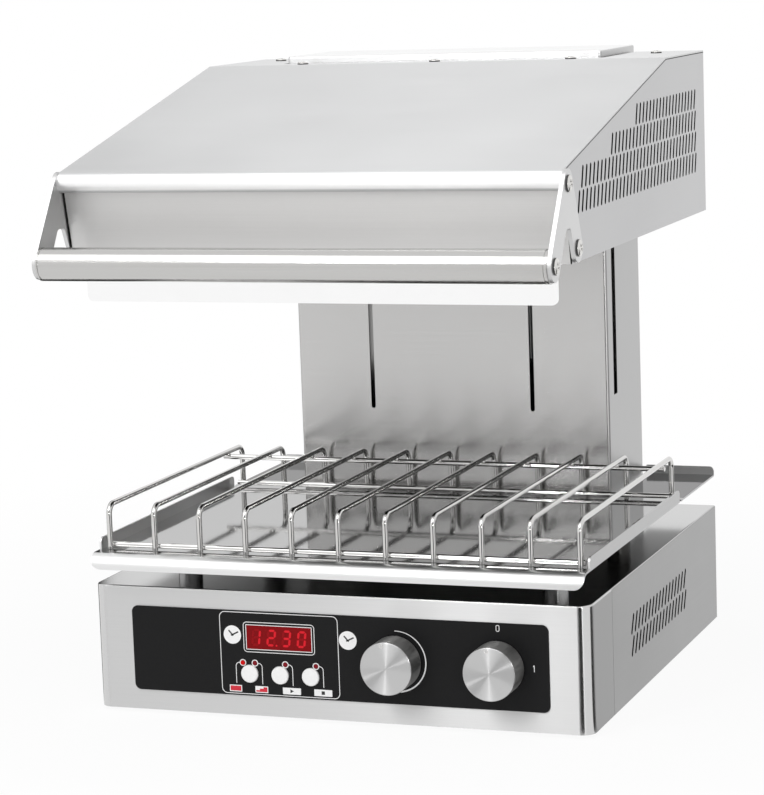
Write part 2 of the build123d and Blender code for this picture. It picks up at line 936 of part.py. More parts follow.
def head_skin():
    """A sheet all round the head's side view, from which the hood and the front panel are cut."""
    return head_outline(0) - head_outline(sheet)


def lip_end():
    """Where the lip's outer face meets the front panel."""
    return panel_point(lip_radius, 0)


def rectangle(y, z):
    """A flat (y, z) rectangle between two (low, high) pairs."""
    return Pos((y[0] + y[1]) / 2, (z[0] + z[1]) / 2) * Rectangle(y[1] - y[0], z[1] - z[0])


def hood_profile():
    """The hood's side view: all of the skin but the front panel, the bottom and the back."""
    front = rectangle((lip_end()[0], head_rear), (head_low, lip_end()[1]))
    back = rectangle((head_crease, head_rear), (head_low, head_top - sheet))
    return head_skin() - front - back


def column_notch(low, high):
    half = column_width / 2 + notch_gap
    return block((-half, half), (notch_front, head_rear + overrun), (low, high))


def hood():
    """The top sheet: flat top, slope and rolled lip, notched for the column."""
    whole = drawn_along_x(hood_profile(), (-head_half, head_half))
    return whole - column_notch(head_low - overrun, head_top + overrun)


def front_panel():
    """The sheet under the lip, leaning back to the head's bottom, with a flange under it."""
    keep = rectangle((lip_end()[0], panel_foot + panel_flange), (head_low, lip_end()[1] - press_gap))
    return drawn_along_x(head_skin() & keep, (-head_inside, head_inside))


def head_side(side):
    """A side plate under the hood's edge, with rows of slanted vents."""
    plate = drawn_along_x(head_outline(0) - hood_profile(), sorted((side * head_inside, side * head_half)))
    last = head_rear - head_vent_end
    places = []
    for row, count in enumerate(head_vent_counts):
        z = head_top - head_vent_drop - row * vent_row_step
        places += [(last - step * vent_pitch, z) for step in range(count)]
    through = sorted((side * (head_inside - overrun), side * (head_half + overrun)))
    return plate - drawn_along_x(vent_sheet(places, head_vent_lean), through)


def pane_area():
    """The (low, high) pairs of the glass pane in X and Y."""
    x = head_inside - pane_margin
    return (-x, x), (panel_foot + pane_margin, notch_front - sheet - pane_margin)


def head_bottom():
    """The bottom sheet, with a window for the glass pane and a notch for the column."""
    plate = block((-head_inside, head_inside), (panel_foot + panel_flange + seam, head_rear - sheet),
                  (head_low, head_low + sheet))
    x, y = pane_area()
    plate -= block((x[0] + pane_seat, x[1] - pane_seat), (y[0] + pane_seat, y[1] - pane_seat),
                   (head_low - overrun, head_low + overrun))
    return plate - column_notch(head_low - overrun, head_low + overrun)


def head_inner_wall():
    return block((-head_inside, head_inside), (notch_front - sheet, notch_front),
                 (head_low + sheet, head_top - sheet))


def head_rear_panels():
    inner = column_width / 2 + notch_gap
    return [block(sorted((side * inner, side * head_inside)), (head_rear - sheet, head_rear),
                  (head_low, head_top - sheet)) for side in (-1, 1)]


def glass_pane():
    x, y = pane_area()
    pane = block(x, y, (head_low + sheet, head_low + sheet + pane_thickness))
    return fillet(edges_along(pane, Axis.Z), pane_seat)


def dish_places():
    """The (low, high) pairs in X and the shared pair in Y of the two heater dishes on the pane."""
    x, y = pane_area()
    return [(x[0], -dish_gap / 2), (dish_gap / 2, x[1])], y


def dish_low():
    return head_low + sheet + pane_thickness


def heater_dishes():
    pairs, y = dish_places()
    dishes = []
    for x in pairs:
        solid = block(x, y, (dish_low(), dish_low() + dish_height))
        solid = fillet(edges_along(solid, Axis.Z), dish_wall)
        hollow = block((x[0] + dish_wall, x[1] - dish_wall), (y[0] + dish_wall, y[1] - dish_wall),
                       (dish_low() - overrun, dish_low() + dish_height - dish_wall))
        dishes.append(solid - hollow)
    return dishes


def heater_ribbons():
    """A ribbon on edge in each dish, in runs joined at alternate ends, hung from the dish's roof."""
    pairs, y = dish_places()
    high = dish_low() + dish_height - dish_wall
    z = (high - ribbon_height, high)
    inset = dish_wall + ribbon_margin
    ribbons = []
    for x in pairs:
        left = x[0] + inset
        right = x[1] - inset
        step = (right - left) / (ribbon_runs - 1)
        runs = [left + run * step for run in range(ribbon_runs)]
        ribbon = block(around(runs[0], ribbon_thickness), (y[0] + inset, y[1] - inset), z)
        for run in range(1, ribbon_runs):
            ribbon += block(around(runs[run], ribbon_thickness), (y[0] + inset, y[1] - inset), z)
            end = y[0] + inset if run % 2 else y[1] - inset
            join = sorted((end, end + ribbon_thickness if run % 2 else end - ribbon_thickness))
            ribbon += block((runs[run - 1], runs[run]), join, z)
        ribbons.append(ribbon)
    return ribbons


def insulation_blanket():
    x, y = pane_area()
    low = dish_low() + dish_height
    slab = block(x, y, (low, low + blanket_thickness))
    return fillet(edges_along(slab, Axis.Z), dish_wall)


def deflector():
    """A polished plate that hangs under the head's front edge, with a flange against the head's bottom."""
    half = deflector_width / 2
    y = (panel_foot, panel_foot + deflector_thickness)
    plate = block((-half, half), y, (head_low - deflector_height, head_low))
    plate = fillet(edges_along(plate, Axis.Y).group_by(Axis.Z)[0], deflector_corner)
    flange = block((-half, half), (panel_foot, panel_foot + deflector_flange),
                   (head_low - deflector_thickness, head_low))
    return plate + flange


# Handle


def bracket_top():
    return (head_front + bracket_top_place[0], lip_top + bracket_top_place[1])


def bracket_rear():
    return (head_front + bracket_rear_place[0], lip_top + bracket_rear_place[1])


def bracket_leg(first, first_radius, second, second_radius):
    """A straight leg between two round ends."""
    ends = [Pos(*first) * Circle(first_radius), Pos(*second) * Circle(second_radius)]
    return make_hull(ends[0].edges() + ends[1].edges())


def handle_bracket(side):
    """A plate with two legs: the front one holds the tube, and the rear one is screwed to the head."""
    top = bracket_top()
    front = (handle_y, handle_z)
    rear = bracket_rear()
    shape = bracket_leg(top, bracket_top_radius, front, bracket_leg_radius)
    shape += bracket_leg(top, bracket_top_radius, rear, bracket_top_radius)
    web_low = (front[1] + rear[1]) / 2 + bracket_notch_rise
    web = make_face(Polyline(top, (front[0], web_low), (rear[0], web_low), close=True))
    shape += web & make_hull(shape.edges())
    plate = drawn_along_x(shape, sorted((side * head_half, side * (head_half + bracket_plate))))
    uprights = edges_along(plate, Axis.X)
    inner_corners = [edge for edge in uprights if abs(edge.center().Z - web_low) < press_gap]
    plate = fillet(inner_corners, bracket_notch_radius)
    through = sorted((side * (head_half - overrun), side * (head_half + bracket_plate + overrun)))
    for y, z in (top, rear, front):
        plate -= bar_x(through, y, z, bracket_screw_shank + press_gap)
    return plate


def handle_bar():
    """A tube between the brackets, with a plug in each end and a ring groove near it."""
    x = (-head_half, head_half)
    tube = bar_x(x, handle_y, handle_z, handle_radius)
    inner = bar_x((x[0] + plug_length, x[1] - plug_length), handle_y, handle_z, handle_radius - handle_wall)
    tube -= inner
    for side in (-1, 1):
        middle = side * (head_half - handle_groove_inset)
        ring = bar_x(around(middle, handle_groove_width), handle_y, handle_z, handle_radius + overrun)
        tube -= ring - bar_x(around(middle, handle_groove_width), handle_y, handle_z,
                             handle_radius - handle_groove)
        end = sorted((side * (head_half - bracket_screw_length), side * (head_half + overrun)))
        tube -= bar_x(end, handle_y, handle_z, bracket_screw_shank + press_gap)
    return tube


def handle_screws():
    """Large button-headed screws through the brackets: one into each tube end, two into each head side."""
    screws = []
    for side in (-1, 1):
        outer = side * (head_half + bracket_plate)
        for y, z in (bracket_top(), bracket_rear(), (handle_y, handle_z)):
            head = bar_x(sorted((outer, outer + side * bracket_screw_height)), y, z, bracket_screw_radius)
            rim = head.edges().group_by(Axis.X)[-1 if side > 0 else 0]
            head = fillet(rim, bracket_screw_edge)
            length = bracket_screw_length + bracket_plate if y == handle_y else bracket_plate
            shank = bar_x(sorted((outer - side * length, outer)), y, z, bracket_screw_shank)
            screws.append(head + shank)
    return screws


def pan_screw(x, y, z):
    """A small round screw head on a level sheet."""
    head = bar_z(x, y, (z, z + cover_screw_height), cover_screw_radius)
    return fillet(head.edges().group_by(Axis.Z)[-1], cover_screw_edge)


def hood_screws():
    y = head_crease + hood_screw_inset / 2
    wing = (column_width / 2 + head_half) / 2
    places = [(step * hood_screw_spacing, y) for step in (-1, 0, 1)]
    places += [(side * wing, head_rear - wing_screw_back) for side in (-1, 1)]
    return [pan_screw(x, y, head_top) for x, y in places]


def back_screws():
    """Round screw heads that hold the column's back."""
    x_half = column_width / 2 - back_screw_inset / 2
    screws = []
    for x in (-x_half, x_half):
        for z in (base_top + back_screw_inset, (base_top + cover_top) / 2, cover_top - back_screw_inset):
            head = bar_y(x, (base_depth, base_depth + cover_screw_height), z, cover_screw_radius)
            screws.append(fillet(head.edges().group_by(Axis.Y)[-1], cover_screw_edge))
    return screws


def main():
    os.makedirs("parts", exist_ok=True)
    for single in (front_fascia, base_cover, base_plate, control_panel, display_lens, display_module,
                   timer_board, transformer, contactor, terminal_block, cable_gland, drip_tray, wire_rack,
                   column_cover, column_back, column_cap, lower_rod_bracket, upper_rod_bracket, carriage,
                   counterweight, pulley_spindle, hood, front_panel, head_bottom, head_inner_wall,
                   glass_pane, insulation_blanket, deflector, handle_bar):
        save(single.__name__, single())
    for group in (rubber_feet, board_standoffs, button_switches, indicator_lights, tray_posts, guide_rods,
                  weight_rods, carriage_bushes, lift_ropes, weight_ropes, rope_wraps, pulley_hangers,
                  head_rear_panels, heater_dishes, heater_ribbons, handle_screws, hood_screws, back_screws):
        save(group.__name__, *group())
    for name, x in zip(("mode_button", "start_button", "stop_button"), button_places()):
        save(name, push_button(x))
    save("heat_knob", control_knob(heat_knob_x))
    save("heat_shaft", control_shaft(heat_knob_x))
    save("heat_regulator",
         rotary_control(heat_knob_x, regulator_width, regulator_height, regulator_depth))
    save("power_knob", control_knob(power_knob_x))
    save("power_shaft", control_shaft(power_knob_x))
    save("power_switch",
         rotary_control(power_knob_x, power_switch_width, power_switch_height, power_switch_depth))
    for name, side in (("left", -1), ("right", 1)):
        save("head_side_" + name, head_side(side))
        save("handle_bracket_" + name, handle_bracket(side))


main()
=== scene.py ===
"""Looks for the countertop salamander grill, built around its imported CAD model.

All lengths are in metres, in the frame of the CAD model: X runs to the right of someone who faces the
controls, Y to the back and Z up from the table.
"""
import math

import bmesh
import bpy
from mathutils import Matrix, Vector


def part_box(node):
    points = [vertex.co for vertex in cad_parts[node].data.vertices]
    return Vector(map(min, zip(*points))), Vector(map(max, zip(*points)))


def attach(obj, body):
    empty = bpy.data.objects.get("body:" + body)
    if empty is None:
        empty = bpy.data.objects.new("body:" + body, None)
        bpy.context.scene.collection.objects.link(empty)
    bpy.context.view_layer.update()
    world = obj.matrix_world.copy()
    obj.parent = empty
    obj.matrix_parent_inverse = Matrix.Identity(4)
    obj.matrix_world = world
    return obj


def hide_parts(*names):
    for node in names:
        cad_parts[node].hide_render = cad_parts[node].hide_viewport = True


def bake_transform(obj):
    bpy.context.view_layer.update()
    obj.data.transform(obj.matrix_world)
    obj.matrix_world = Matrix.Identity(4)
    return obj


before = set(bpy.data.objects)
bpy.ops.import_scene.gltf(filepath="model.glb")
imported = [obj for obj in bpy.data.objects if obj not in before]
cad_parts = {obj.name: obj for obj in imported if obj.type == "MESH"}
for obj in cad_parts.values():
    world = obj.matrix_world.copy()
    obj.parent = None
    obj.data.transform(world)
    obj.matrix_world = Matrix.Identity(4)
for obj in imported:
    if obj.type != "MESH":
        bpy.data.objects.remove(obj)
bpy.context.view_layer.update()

MM = 0.001

# Camera, solved from the photograph
PHOTO_HEIGHT = 795
FOCAL_PIXELS = 2918
SENSOR = 36.0
EYE = Vector((0.7828, -2.1673, 0.5838))
YAW = math.radians(20.24)
PITCH = math.radians(8.83)
ROLL = math.radians(-2.02)

# Studio
WHITE = (1, 1, 1, 1)
FLOOR_RADIUS = 9.0
FLOOR_STEPS = 96
FLOOR_COLOUR = (0.9, 0.9, 0.9, 1)
FLOOR_ROUGHNESS = 0.9
FLOOR_WHITE_NEAR = 0.92
FLOOR_NEAR = 0.3
FLOOR_FAR = 1.0
AMBIENT = 0.55
HEAD_AIM = (0, -0.2, 0.36)
PANEL_AIM = (0.09, -0.19, 0.05)

# Lamps: name, place, aim, width, height and power in watts
LAMPS = (
    ("overhead_softbox", (-0.2, -1.55, 2.12), HEAD_AIM, 2.6, 1.45, 22.6),
    ("key_strip", (-0.53, -1.75, 1.46), PANEL_AIM, 0.06, 0.9, 5.2),
    ("side_strip", (1.18, -1.95, 0.37), PANEL_AIM, 0.4, 0.06, 4.5),
)

# Dark screens for reflections: name, middle, first and last angle in degrees, tone, (radius, height) line
LOW_SCREEN = ((0.02, 0.001), (0.9, 0.01), (1.2, 0.14))
TALL_SCREEN = ((0.02, 0.001), (1.8, 0.02), (2.3, 0.3), (2.4, 1.7))
RIGHT_CORNER = (0.19, -0.155)
LEFT_CORNER = (-0.19, -0.155)
SCREENS = (
    ("front_right_screen", RIGHT_CORNER, -6, 27, 0.03, TALL_SCREEN),
    ("right_screen", RIGHT_CORNER, 103, 142, 0.04, LOW_SCREEN),
    ("left_screen", LEFT_CORNER, -154, -120, 0.05, TALL_SCREEN),
)
SCREEN_STEPS = 24

# Places where a finish changes, and where painted light and shade change: (y, z) corners round the vents,
# whose walls get painted shade, and edges on the tray and between the posts, where tones of painted light and
# shade meet
HEAD_VENTS = ((-0.2, 0.35), (0.2, 0.48))
BASE_VENTS = ((-0.1, 0.03), (0.2, 0.08))
TRAY_WING_FRONT = 0.125
TRAY_UNDERSIDE = 0.1254
TRAY_FLANGE_BACK = -0.1
POSTS_MIDDLE = 0.0

# Print on the control panel
PRINT_THICKNESS = 0.06 * MM
LINE_WIDTH = 0.52 * MM
TIMER_MARGIN = 1.1 * MM
TIMER_LEFT_REACH = 48.6 * MM
TIMER_RIGHT_REACH = 48.4 * MM
TIMER_CORNER = 4.5 * MM
DISPLAY_BORDER = 2.6 * MM
DISPLAY_CORNER = 3.0 * MM
WINDOW_CORNER = LINE_WIDTH / 3
WINDOW_RIM = 1.1 * MM
LIGHT_RISE = 8.5 * MM
LIGHT_SHIFT = 4.5 * MM
FIRST_LIGHT_SHIFT = -5.4 * MM
LIGHT_RING_OUTER = 2.7 * MM
LIGHT_RING_INNER = 2.0 * MM
LEADER_REACH = 5.8 * MM
LEADER_DROP = 16.3 * MM
LEADER_BEND = 3.0 * MM
LEADER_STEPS = 8
CLOCK_RADIUS = 7.2 * MM
CLOCK_STEPS = 48
CLOCK_RISE = 1.2 * MM
CLOCK_LEFT = -38.2 * MM
CLOCK_RIGHT = 56.1 * MM
CLOCK_LINE = 1.1 * MM
CLOCK_SHORT_HAND = (-3.0 * MM, 3.4 * MM)
CLOCK_LONG_HAND = (4.9 * MM, 2.4 * MM)
CLOCK_TAIL_SHARE = 0.25
LABEL_HEIGHT = 5.2 * MM
LABEL_DROP = 12.0 * MM
LABEL_BORDER = 0.7 * MM
LABEL_CORNER = 0.3 * MM
LABEL_SHIFTS = (-0.9 * MM, -1.0 * MM, -1.2 * MM, -0.6 * MM)
LABEL_WIDTHS = (10.2 * MM, 10.6 * MM, 14.8 * MM, 14.6 * MM)
SIGN_HALF = 0.3 * LABEL_HEIGHT
TRIANGLE_BACK = 0.8 * SIGN_HALF
SQUARE_HALF = 0.85 * SIGN_HALF
HEAT_STEPS = 3
DIAL_NUMBER_HEIGHT = 5.0 * MM
DIAL_NUMBER_WIDTH = 2.9 * MM
ZERO_RISE = 29.3 * MM
ZERO_CORNER = 1.2 * MM
ONE_SHIFT = 27.6 * MM
ONE_STEM = 1.1 * LINE_WIDTH
ONE_FLAG = 0.9 * MM
ONE_FLAG_FOOT = 1.1 * MM
SCALE_RADIUS = 23.4 * MM
SCALE_START_WIDTH = 0.5 * MM
SCALE_END_WIDTH = 1.3 * MM
SCALE_START = math.radians(92)
SCALE_END = math.radians(-84)
SCALE_STEPS = 60

# The light that is on
CAP_RADIUS = 1.82 * MM
CAP_RISE = 0.25 * MM
CAP_RINGS = 6
CAP_STEPS = 32

# Digits in the display
DIGIT_TEXT = "1230"
DIGIT_HEIGHT = 13.2 * MM
DIGIT_WIDTH = 7.3 * MM
DIGIT_PITCH = 12.4 * MM
DIGIT_STROKE = 1.8 * MM
DIGIT_SLANT = 0.12
DIGIT_GAP = 0.25 * MM
POINT_RADIUS = 0.8 * MM
POINT_SHIFT = 1.6 * POINT_RADIUS
POINT_STEPS = 16
POINT_AFTER = 1
SEGMENTS = {"0": "abcdef", "1": "bc", "2": "abged", "3": "abgcd"}

# Marks on the knobs
INDEX_PLACE_SHARE = 0.86
INDEX_OUTER = 1.5 * MM
INDEX_INNER = 0.95 * MM
INDEX_PROUD = 0.12 * MM
INDEX_WELL_PROUD = INDEX_PROUD / 4
INDEX_STEPS = 32
HEAT_INDEX_ANGLE = math.radians(100)
POWER_INDEX_ANGLE = math.radians(95)

# Screws: the handle's stand at (y, z) places from the middle of the tube
HANDLE_SCREWS = ((0, 0), (37.0 * MM, 54.8 * MM), (58.5 * MM, 6.8 * MM))
HANDLE_SCREW_RADIUS = 6.2 * MM
SMALL_SCREW_RADIUS = 4.5 * MM
HOOD_SCREW_SPACING = 116.0 * MM

# Screw heads: the wall is a share of the height, and the cross is in shares of the radius
SCREW_STEPS = 48
SCREW_RINGS = 12
SCREW_WALL_SHARE = 0.45
DRIVE_WIDTH_SHARE = 0.11
DRIVE_LENGTH_SHARE = 0.5
DRIVE_DEPTH_SHARE = 0.32

# Weld beads on the rack
WIRE_RADIUS = 2.2 * MM
WIRE_PITCH = 38.0 * MM
WIRE_COUNT = 11
ROD_BESIDE = 3.8 * MM
ROD_RISE = 3.0 * MM
UPPER_ROD_FRONT = 32.0 * MM
BEAD = (2.7 * MM, 1.7 * MM, 2.3 * MM)
BEAD_SWELL = 0.07
BEAD_LOBES = 3
BEAD_VARIETY = 900.0
BEAD_STEPS = 12

# Ropes of the counterweight
ROPE_RADIUS = 1.5 * MM
ROPE_STRANDS = 6
ROPE_SIDES = 24
ROPE_GROOVE_SHARE = 0.22
ROPE_LAY = 20.0 * MM
ROPE_STEP = 2.0 * MM

# Seam between the hood and the head's sides
SEAM_WIDTH = 0.8 * MM
SEAM_THICKNESS = 0.05 * MM
HOOD_SHEET = 1.2 * MM
CREASE_BACK = 124.0 * MM
LIP_DROP = 64.0 * MM
LIP_FRONT = 6.3 * MM

# Surface detail: noise per metre, shares of a roughness or a tone, and the strength and depth of bumps
GRAIN_ACROSS = 1400.0
GRAIN_ALONG = 9.0
GRAIN_DEPTH = 0.02 * MM
LINE_ROUGHNESS = 2.0
CLOUD_SCALE = 7.0
CLOUD_SHARE = 0.07
TURNED_SCALE = (600.0, 60.0, 600.0)
TURNED_SHARE = 0.1
TURNED_DARK_SHARE = 0.95
SMEAR_SCALE = (24.0, 9.0, 24.0)
SMEAR_DARK_SHARE = 0.97
SCRATCH_SCALE = (900.0, 30.0, 900.0)
SCRATCH_BUMP = 0.02
SCRATCH_DEPTH = 0.01 * MM
SPECKLE_SHARE = 0.08
HAZE_SCALE = 60.0
HAZE_SHARE = 0.2

# Tinted glass
GLASS_TRANSMISSION = 0.7
GLASS_IOR = 1.5

# Reflections on brushed metal spread along a direction, and on turned metal across its lines
SPREAD = (0.0, 0.02, 1.0)
QUARTER_TURN = 0.25

# Walls of the vents: the near-black tone of the shade painted on them, and how far the normal may lie along
# X, from none to all of the effect
VENT_WALL_SHADE_TONE = 0.02
VENT_WALL_FACING = (0.7, 0.5)


# Materials


def clear_material(name):
    """An empty node material with its shader and output."""
    material = bpy.data.materials.new(name)
    material.use_nodes = True
    nodes = material.node_tree.nodes
    return material, nodes, material.node_tree.links, nodes["Principled BSDF"]


def mapped_noise(nodes, links, scale, detail=2.0, distortion=0.0):
    """Noise over the object's own coordinates, stretched by a scale per axis."""
    place = nodes.new("ShaderNodeTexCoord")
    stretch = nodes.new("ShaderNodeMapping")
    stretch.inputs["Scale"].default_value = scale
    noise = nodes.new("ShaderNodeTexNoise")
    noise.inputs["Scale"].default_value = 1.0
    noise.inputs["Detail"].default_value = detail
    noise.inputs["Distortion"].default_value = distortion
    links.new(place.outputs["Object"], stretch.inputs["Vector"])
    links.new(stretch.outputs["Vector"], noise.inputs["Vector"])
    return noise.outputs["Fac"]


def ranged(nodes, links, value, low, high, start=0.3, stop=0.7):
    """A value between start and stop, mapped to a range from low to high."""
    node = nodes.new("ShaderNodeMapRange")
    node.inputs["From Min"].default_value = start
    node.inputs["From Max"].default_value = stop
    node.inputs["To Min"].default_value = low
    node.inputs["To Max"].default_value = high
    links.new(value, node.inputs["Value"])
    return node.outputs["Result"]


def varied(nodes, links, noise, value, share):
    """A value that the noise varies by a share of it, either way."""
    return ranged(nodes, links, noise, value * (1 - share), value * (1 + share))


def feed(links, socket, value):
    """Give a socket its value: another socket's output, or plain numbers."""
    if isinstance(value, bpy.types.NodeSocket):
        links.new(value, socket)
    else:
        socket.default_value = value


def mixed(nodes, links, kind, factor, first, second):
    """A mix of two colours (RGBA) or two values (FLOAT), each of them a socket or plain numbers."""
    node = nodes.new("ShaderNodeMix")
    node.data_type = kind
    feed(links, node.inputs["Factor"], factor)
    feed(links, node.inputs["A"], first)
    feed(links, node.inputs["B"], second)
    return node.outputs["Result"]


def calculated(nodes, links, operation, *values):
    """The result of a math operation, each value a socket or a plain number."""
    node = nodes.new("ShaderNodeMath")
    node.operation = operation
    for socket, value in zip(node.inputs, values):
        feed(links, socket, value)
    return node.outputs["Value"]


def coordinate(nodes, links, source, axis):
    """One axis of a texture coordinate."""
    place = nodes.new("ShaderNodeTexCoord")
    parts = nodes.new("ShaderNodeSeparateXYZ")
    links.new(place.outputs[source], parts.inputs["Vector"])
    return parts.outputs[axis]


def facing(nodes, links, axis, start=0.6, stop=0.8):
    """1 where the surface faces along an axis, either way, and 0 elsewhere. Start above stop swaps them."""
    size = calculated(nodes, links, "ABSOLUTE", coordinate(nodes, links, "Normal", axis))
    return ranged(nodes, links, size, 0, 1, start, stop)


def patch(tone, roughness, axis=None, start=0.6, stop=0.8, under=None):
    """Another tone and roughness on the faces along an axis, or under a value of a coordinate, or both. The
    tone is often painted light or shade: a face lighter or darker by how light falls on it.
    """
    return {"tone": tone, "roughness": roughness, "axis": axis, "range": (start, stop), "under": under}


def patch_mask(nodes, links, part):
    """1 where a patch lies, and 0 elsewhere."""
    mask = facing(nodes, links, part["axis"], *part["range"]) if part["axis"] else None
    if part["under"] is None:
        return mask
    axis, edge = part["under"]
    below = calculated(nodes, links, "LESS_THAN", coordinate(nodes, links, "Object", axis), edge)
    return below if mask is None else calculated(nodes, links, "MULTIPLY", mask, below)


def faced_colour(nodes, links, colour, faces):
    """A colour that changes where the patches lie."""
    for part in faces:
        grey = (part["tone"],) * 3 + (1,)
        colour = mixed(nodes, links, "RGBA", patch_mask(nodes, links, part), colour, grey)
    return colour


def faced_roughness(nodes, links, roughness, faces):
    """A roughness that changes where the patches lie."""
    for part in faces:
        roughness = mixed(nodes, links, "FLOAT", patch_mask(nodes, links, part), roughness, part["roughness"])
    return roughness


def grained_colour(nodes, links, noise, low, high):
    """A colour between two tones, as the noise goes."""
    return mixed(nodes, links, "RGBA", ranged(nodes, links, noise, 0, 1), (*low, 1), (*high, 1))


def bumped(nodes, links, value, shader, strength, distance):
    """Give a shader a bump from a value."""
    bump = nodes.new("ShaderNodeBump")
    bump.inputs["Strength"].default_value = strength
    bump.inputs["Distance"].default_value = distance
    links.new(value, bump.inputs["Height"])
    links.new(bump.outputs["Normal"], shader.inputs["Normal"])


def brushed(name, tone, roughness, anisotropy, grain, spread=SPREAD, lines=0.03, bump=0.015, faces=()):
    """Metal with fine parallel lines along one axis, and reflections that spread along a direction."""
    material, nodes, links, shader = clear_material(name)
    scale = [GRAIN_ACROSS] * 3
    scale["XYZ".index(grain)] = GRAIN_ALONG
    fine = mapped_noise(nodes, links, scale, detail=3.0)
    cloud = mapped_noise(nodes, links, (CLOUD_SCALE,) * 3, detail=3.0)
    low = [channel * (1 - lines) for channel in tone]
    colour = grained_colour(nodes, links, fine, low, tone)
    links.new(faced_colour(nodes, links, colour, faces), shader.inputs["Base Color"])
    wide = lines * roughness * LINE_ROUGHNESS
    fine_rough = ranged(nodes, links, fine, -wide, wide)
    cloud_rough = varied(nodes, links, cloud, roughness, CLOUD_SHARE)
    rough = calculated(nodes, links, "ADD", fine_rough, cloud_rough)
    links.new(faced_roughness(nodes, links, rough, faces), shader.inputs["Roughness"])
    shader.inputs["Metallic"].default_value = 1.0
    shader.inputs["Anisotropic"].default_value = anisotropy
    direction = nodes.new("ShaderNodeCombineXYZ")
    for axis, value in zip("XYZ", spread):
        direction.inputs[axis].default_value = value
    links.new(direction.outputs["Vector"], shader.inputs["Tangent"])
    bumped(nodes, links, fine, shader, bump, GRAIN_DEPTH)
    return material


def slot_walls(nodes, links, low, high):
    """1 on the narrow faces inside a (y, z) box of a sheet that stands across X: the walls of its vents,
    which take painted shade.
    """
    inside = facing(nodes, links, "X", *VENT_WALL_FACING)
    for axis, start, stop in zip("YZ", low, high):
        value = coordinate(nodes, links, "Object", axis)
        for edge, way in ((start, "GREATER_THAN"), (stop, "LESS_THAN")):
            test = calculated(nodes, links, way, value, edge)
            inside = calculated(nodes, links, "MULTIPLY", inside, test)
    return inside


def paint_vent_shade(material, low, high):
    """Paint shade on the walls of the vents: a near-black tone stands for the shade inside the slots."""
    nodes, links = material.node_tree.nodes, material.node_tree.links
    colour = nodes["Principled BSDF"].inputs["Base Color"]
    plain = colour.links[0].from_socket
    walls = slot_walls(nodes, links, low, high)
    links.new(mixed(nodes, links, "RGBA", walls, plain, (VENT_WALL_SHADE_TONE,) * 3 + (1,)), colour)
    return material


def turned(name, tone, roughness, anisotropy, faces=()):
    """Metal with circular lines about the Y axis, as on a turned knob."""
    material, nodes, links, shader = clear_material(name)
    around = nodes.new("ShaderNodeTangent")
    around.direction_type = "RADIAL"
    around.axis = "Y"
    links.new(around.outputs["Tangent"], shader.inputs["Tangent"])
    grain = mapped_noise(nodes, links, TURNED_SCALE)
    low = [channel * TURNED_DARK_SHARE for channel in tone]
    colour = grained_colour(nodes, links, grain, low, tone)
    links.new(faced_colour(nodes, links, colour, faces), shader.inputs["Base Color"])
    rough = varied(nodes, links, grain, roughness, TURNED_SHARE)
    links.new(faced_roughness(nodes, links, rough, faces), shader.inputs["Roughness"])
    shader.inputs["Metallic"].default_value = 1.0
    shader.inputs["Anisotropic"].default_value = anisotropy
    shader.inputs["Anisotropic Rotation"].default_value = QUARTER_TURN
    return material


def polished(name, tone, roughness, cloudiness=0.35, faces=(), tint=1.0):
    """Bright metal with faint smears and hairline scratches. The tint dims it at a low angle."""
    material, nodes, links, shader = clear_material(name)
    smear = mapped_noise(nodes, links, SMEAR_SCALE, detail=4.0, distortion=0.6)
    scratch = mapped_noise(nodes, links, SCRATCH_SCALE)
    low = [channel * SMEAR_DARK_SHARE for channel in tone]
    colour = grained_colour(nodes, links, smear, low, tone)
    links.new(faced_colour(nodes, links, colour, faces), shader.inputs["Base Color"])
    rough = varied(nodes, links, smear, roughness, cloudiness)
    links.new(faced_roughness(nodes, links, rough, faces), shader.inputs["Roughness"])
    shader.inputs["Metallic"].default_value = 1.0
    shader.inputs["Specular Tint"].default_value = (tint, tint, tint, 1)
    bumped(nodes, links, scratch, shader, SCRATCH_BUMP, SCRATCH_DEPTH)
    return material


def coated(name, tone, roughness, grain_scale=900.0, variation=0.12, bump=0.05, specular=0.5):
    """Plastic, paint, rubber or film: a fine speckled surface over one tone."""
    material, nodes, links, shader = clear_material(name)
    speckle = mapped_noise(nodes, links, (grain_scale,) * 3)
    low = [channel * (1 - variation) for channel in tone]
    high = [min(1.0, channel * (1 + variation)) for channel in tone]
    links.new(grained_colour(nodes, links, speckle, low, high), shader.inputs["Base Color"])
    links.new(varied(nodes, links, speckle, roughness, SPECKLE_SHARE), shader.inputs["Roughness"])
    shader.inputs["Specular IOR Level"].default_value = specular
    bumped(nodes, links, speckle, shader, bump, GRAIN_DEPTH)
    return material


def lit(name, tone, glow, roughness=0.35):
    """A coloured surface that also gives some light of its own."""
    material = coated(name, tone, roughness, grain_scale=500.0, variation=0.06, bump=0.02, specular=0.08)
    shader = material.node_tree.nodes["Principled BSDF"]
    shader.inputs["Emission Color"].default_value = (*tone, 1)
    shader.inputs["Emission Strength"].default_value = glow
    return material


def tinted_glass(name, tone, roughness):
    """Dark glass with a faint haze."""
    material, nodes, links, shader = clear_material(name)
    haze = mapped_noise(nodes, links, (HAZE_SCALE,) * 3, detail=3.0)
    links.new(varied(nodes, links, haze, roughness, HAZE_SHARE), shader.inputs["Roughness"])
    shader.inputs["Base Color"].default_value = (*tone, 1)
    shader.inputs["Transmission Weight"].default_value = GLASS_TRANSMISSION
    shader.inputs["IOR"].default_value = GLASS_IOR
    return material
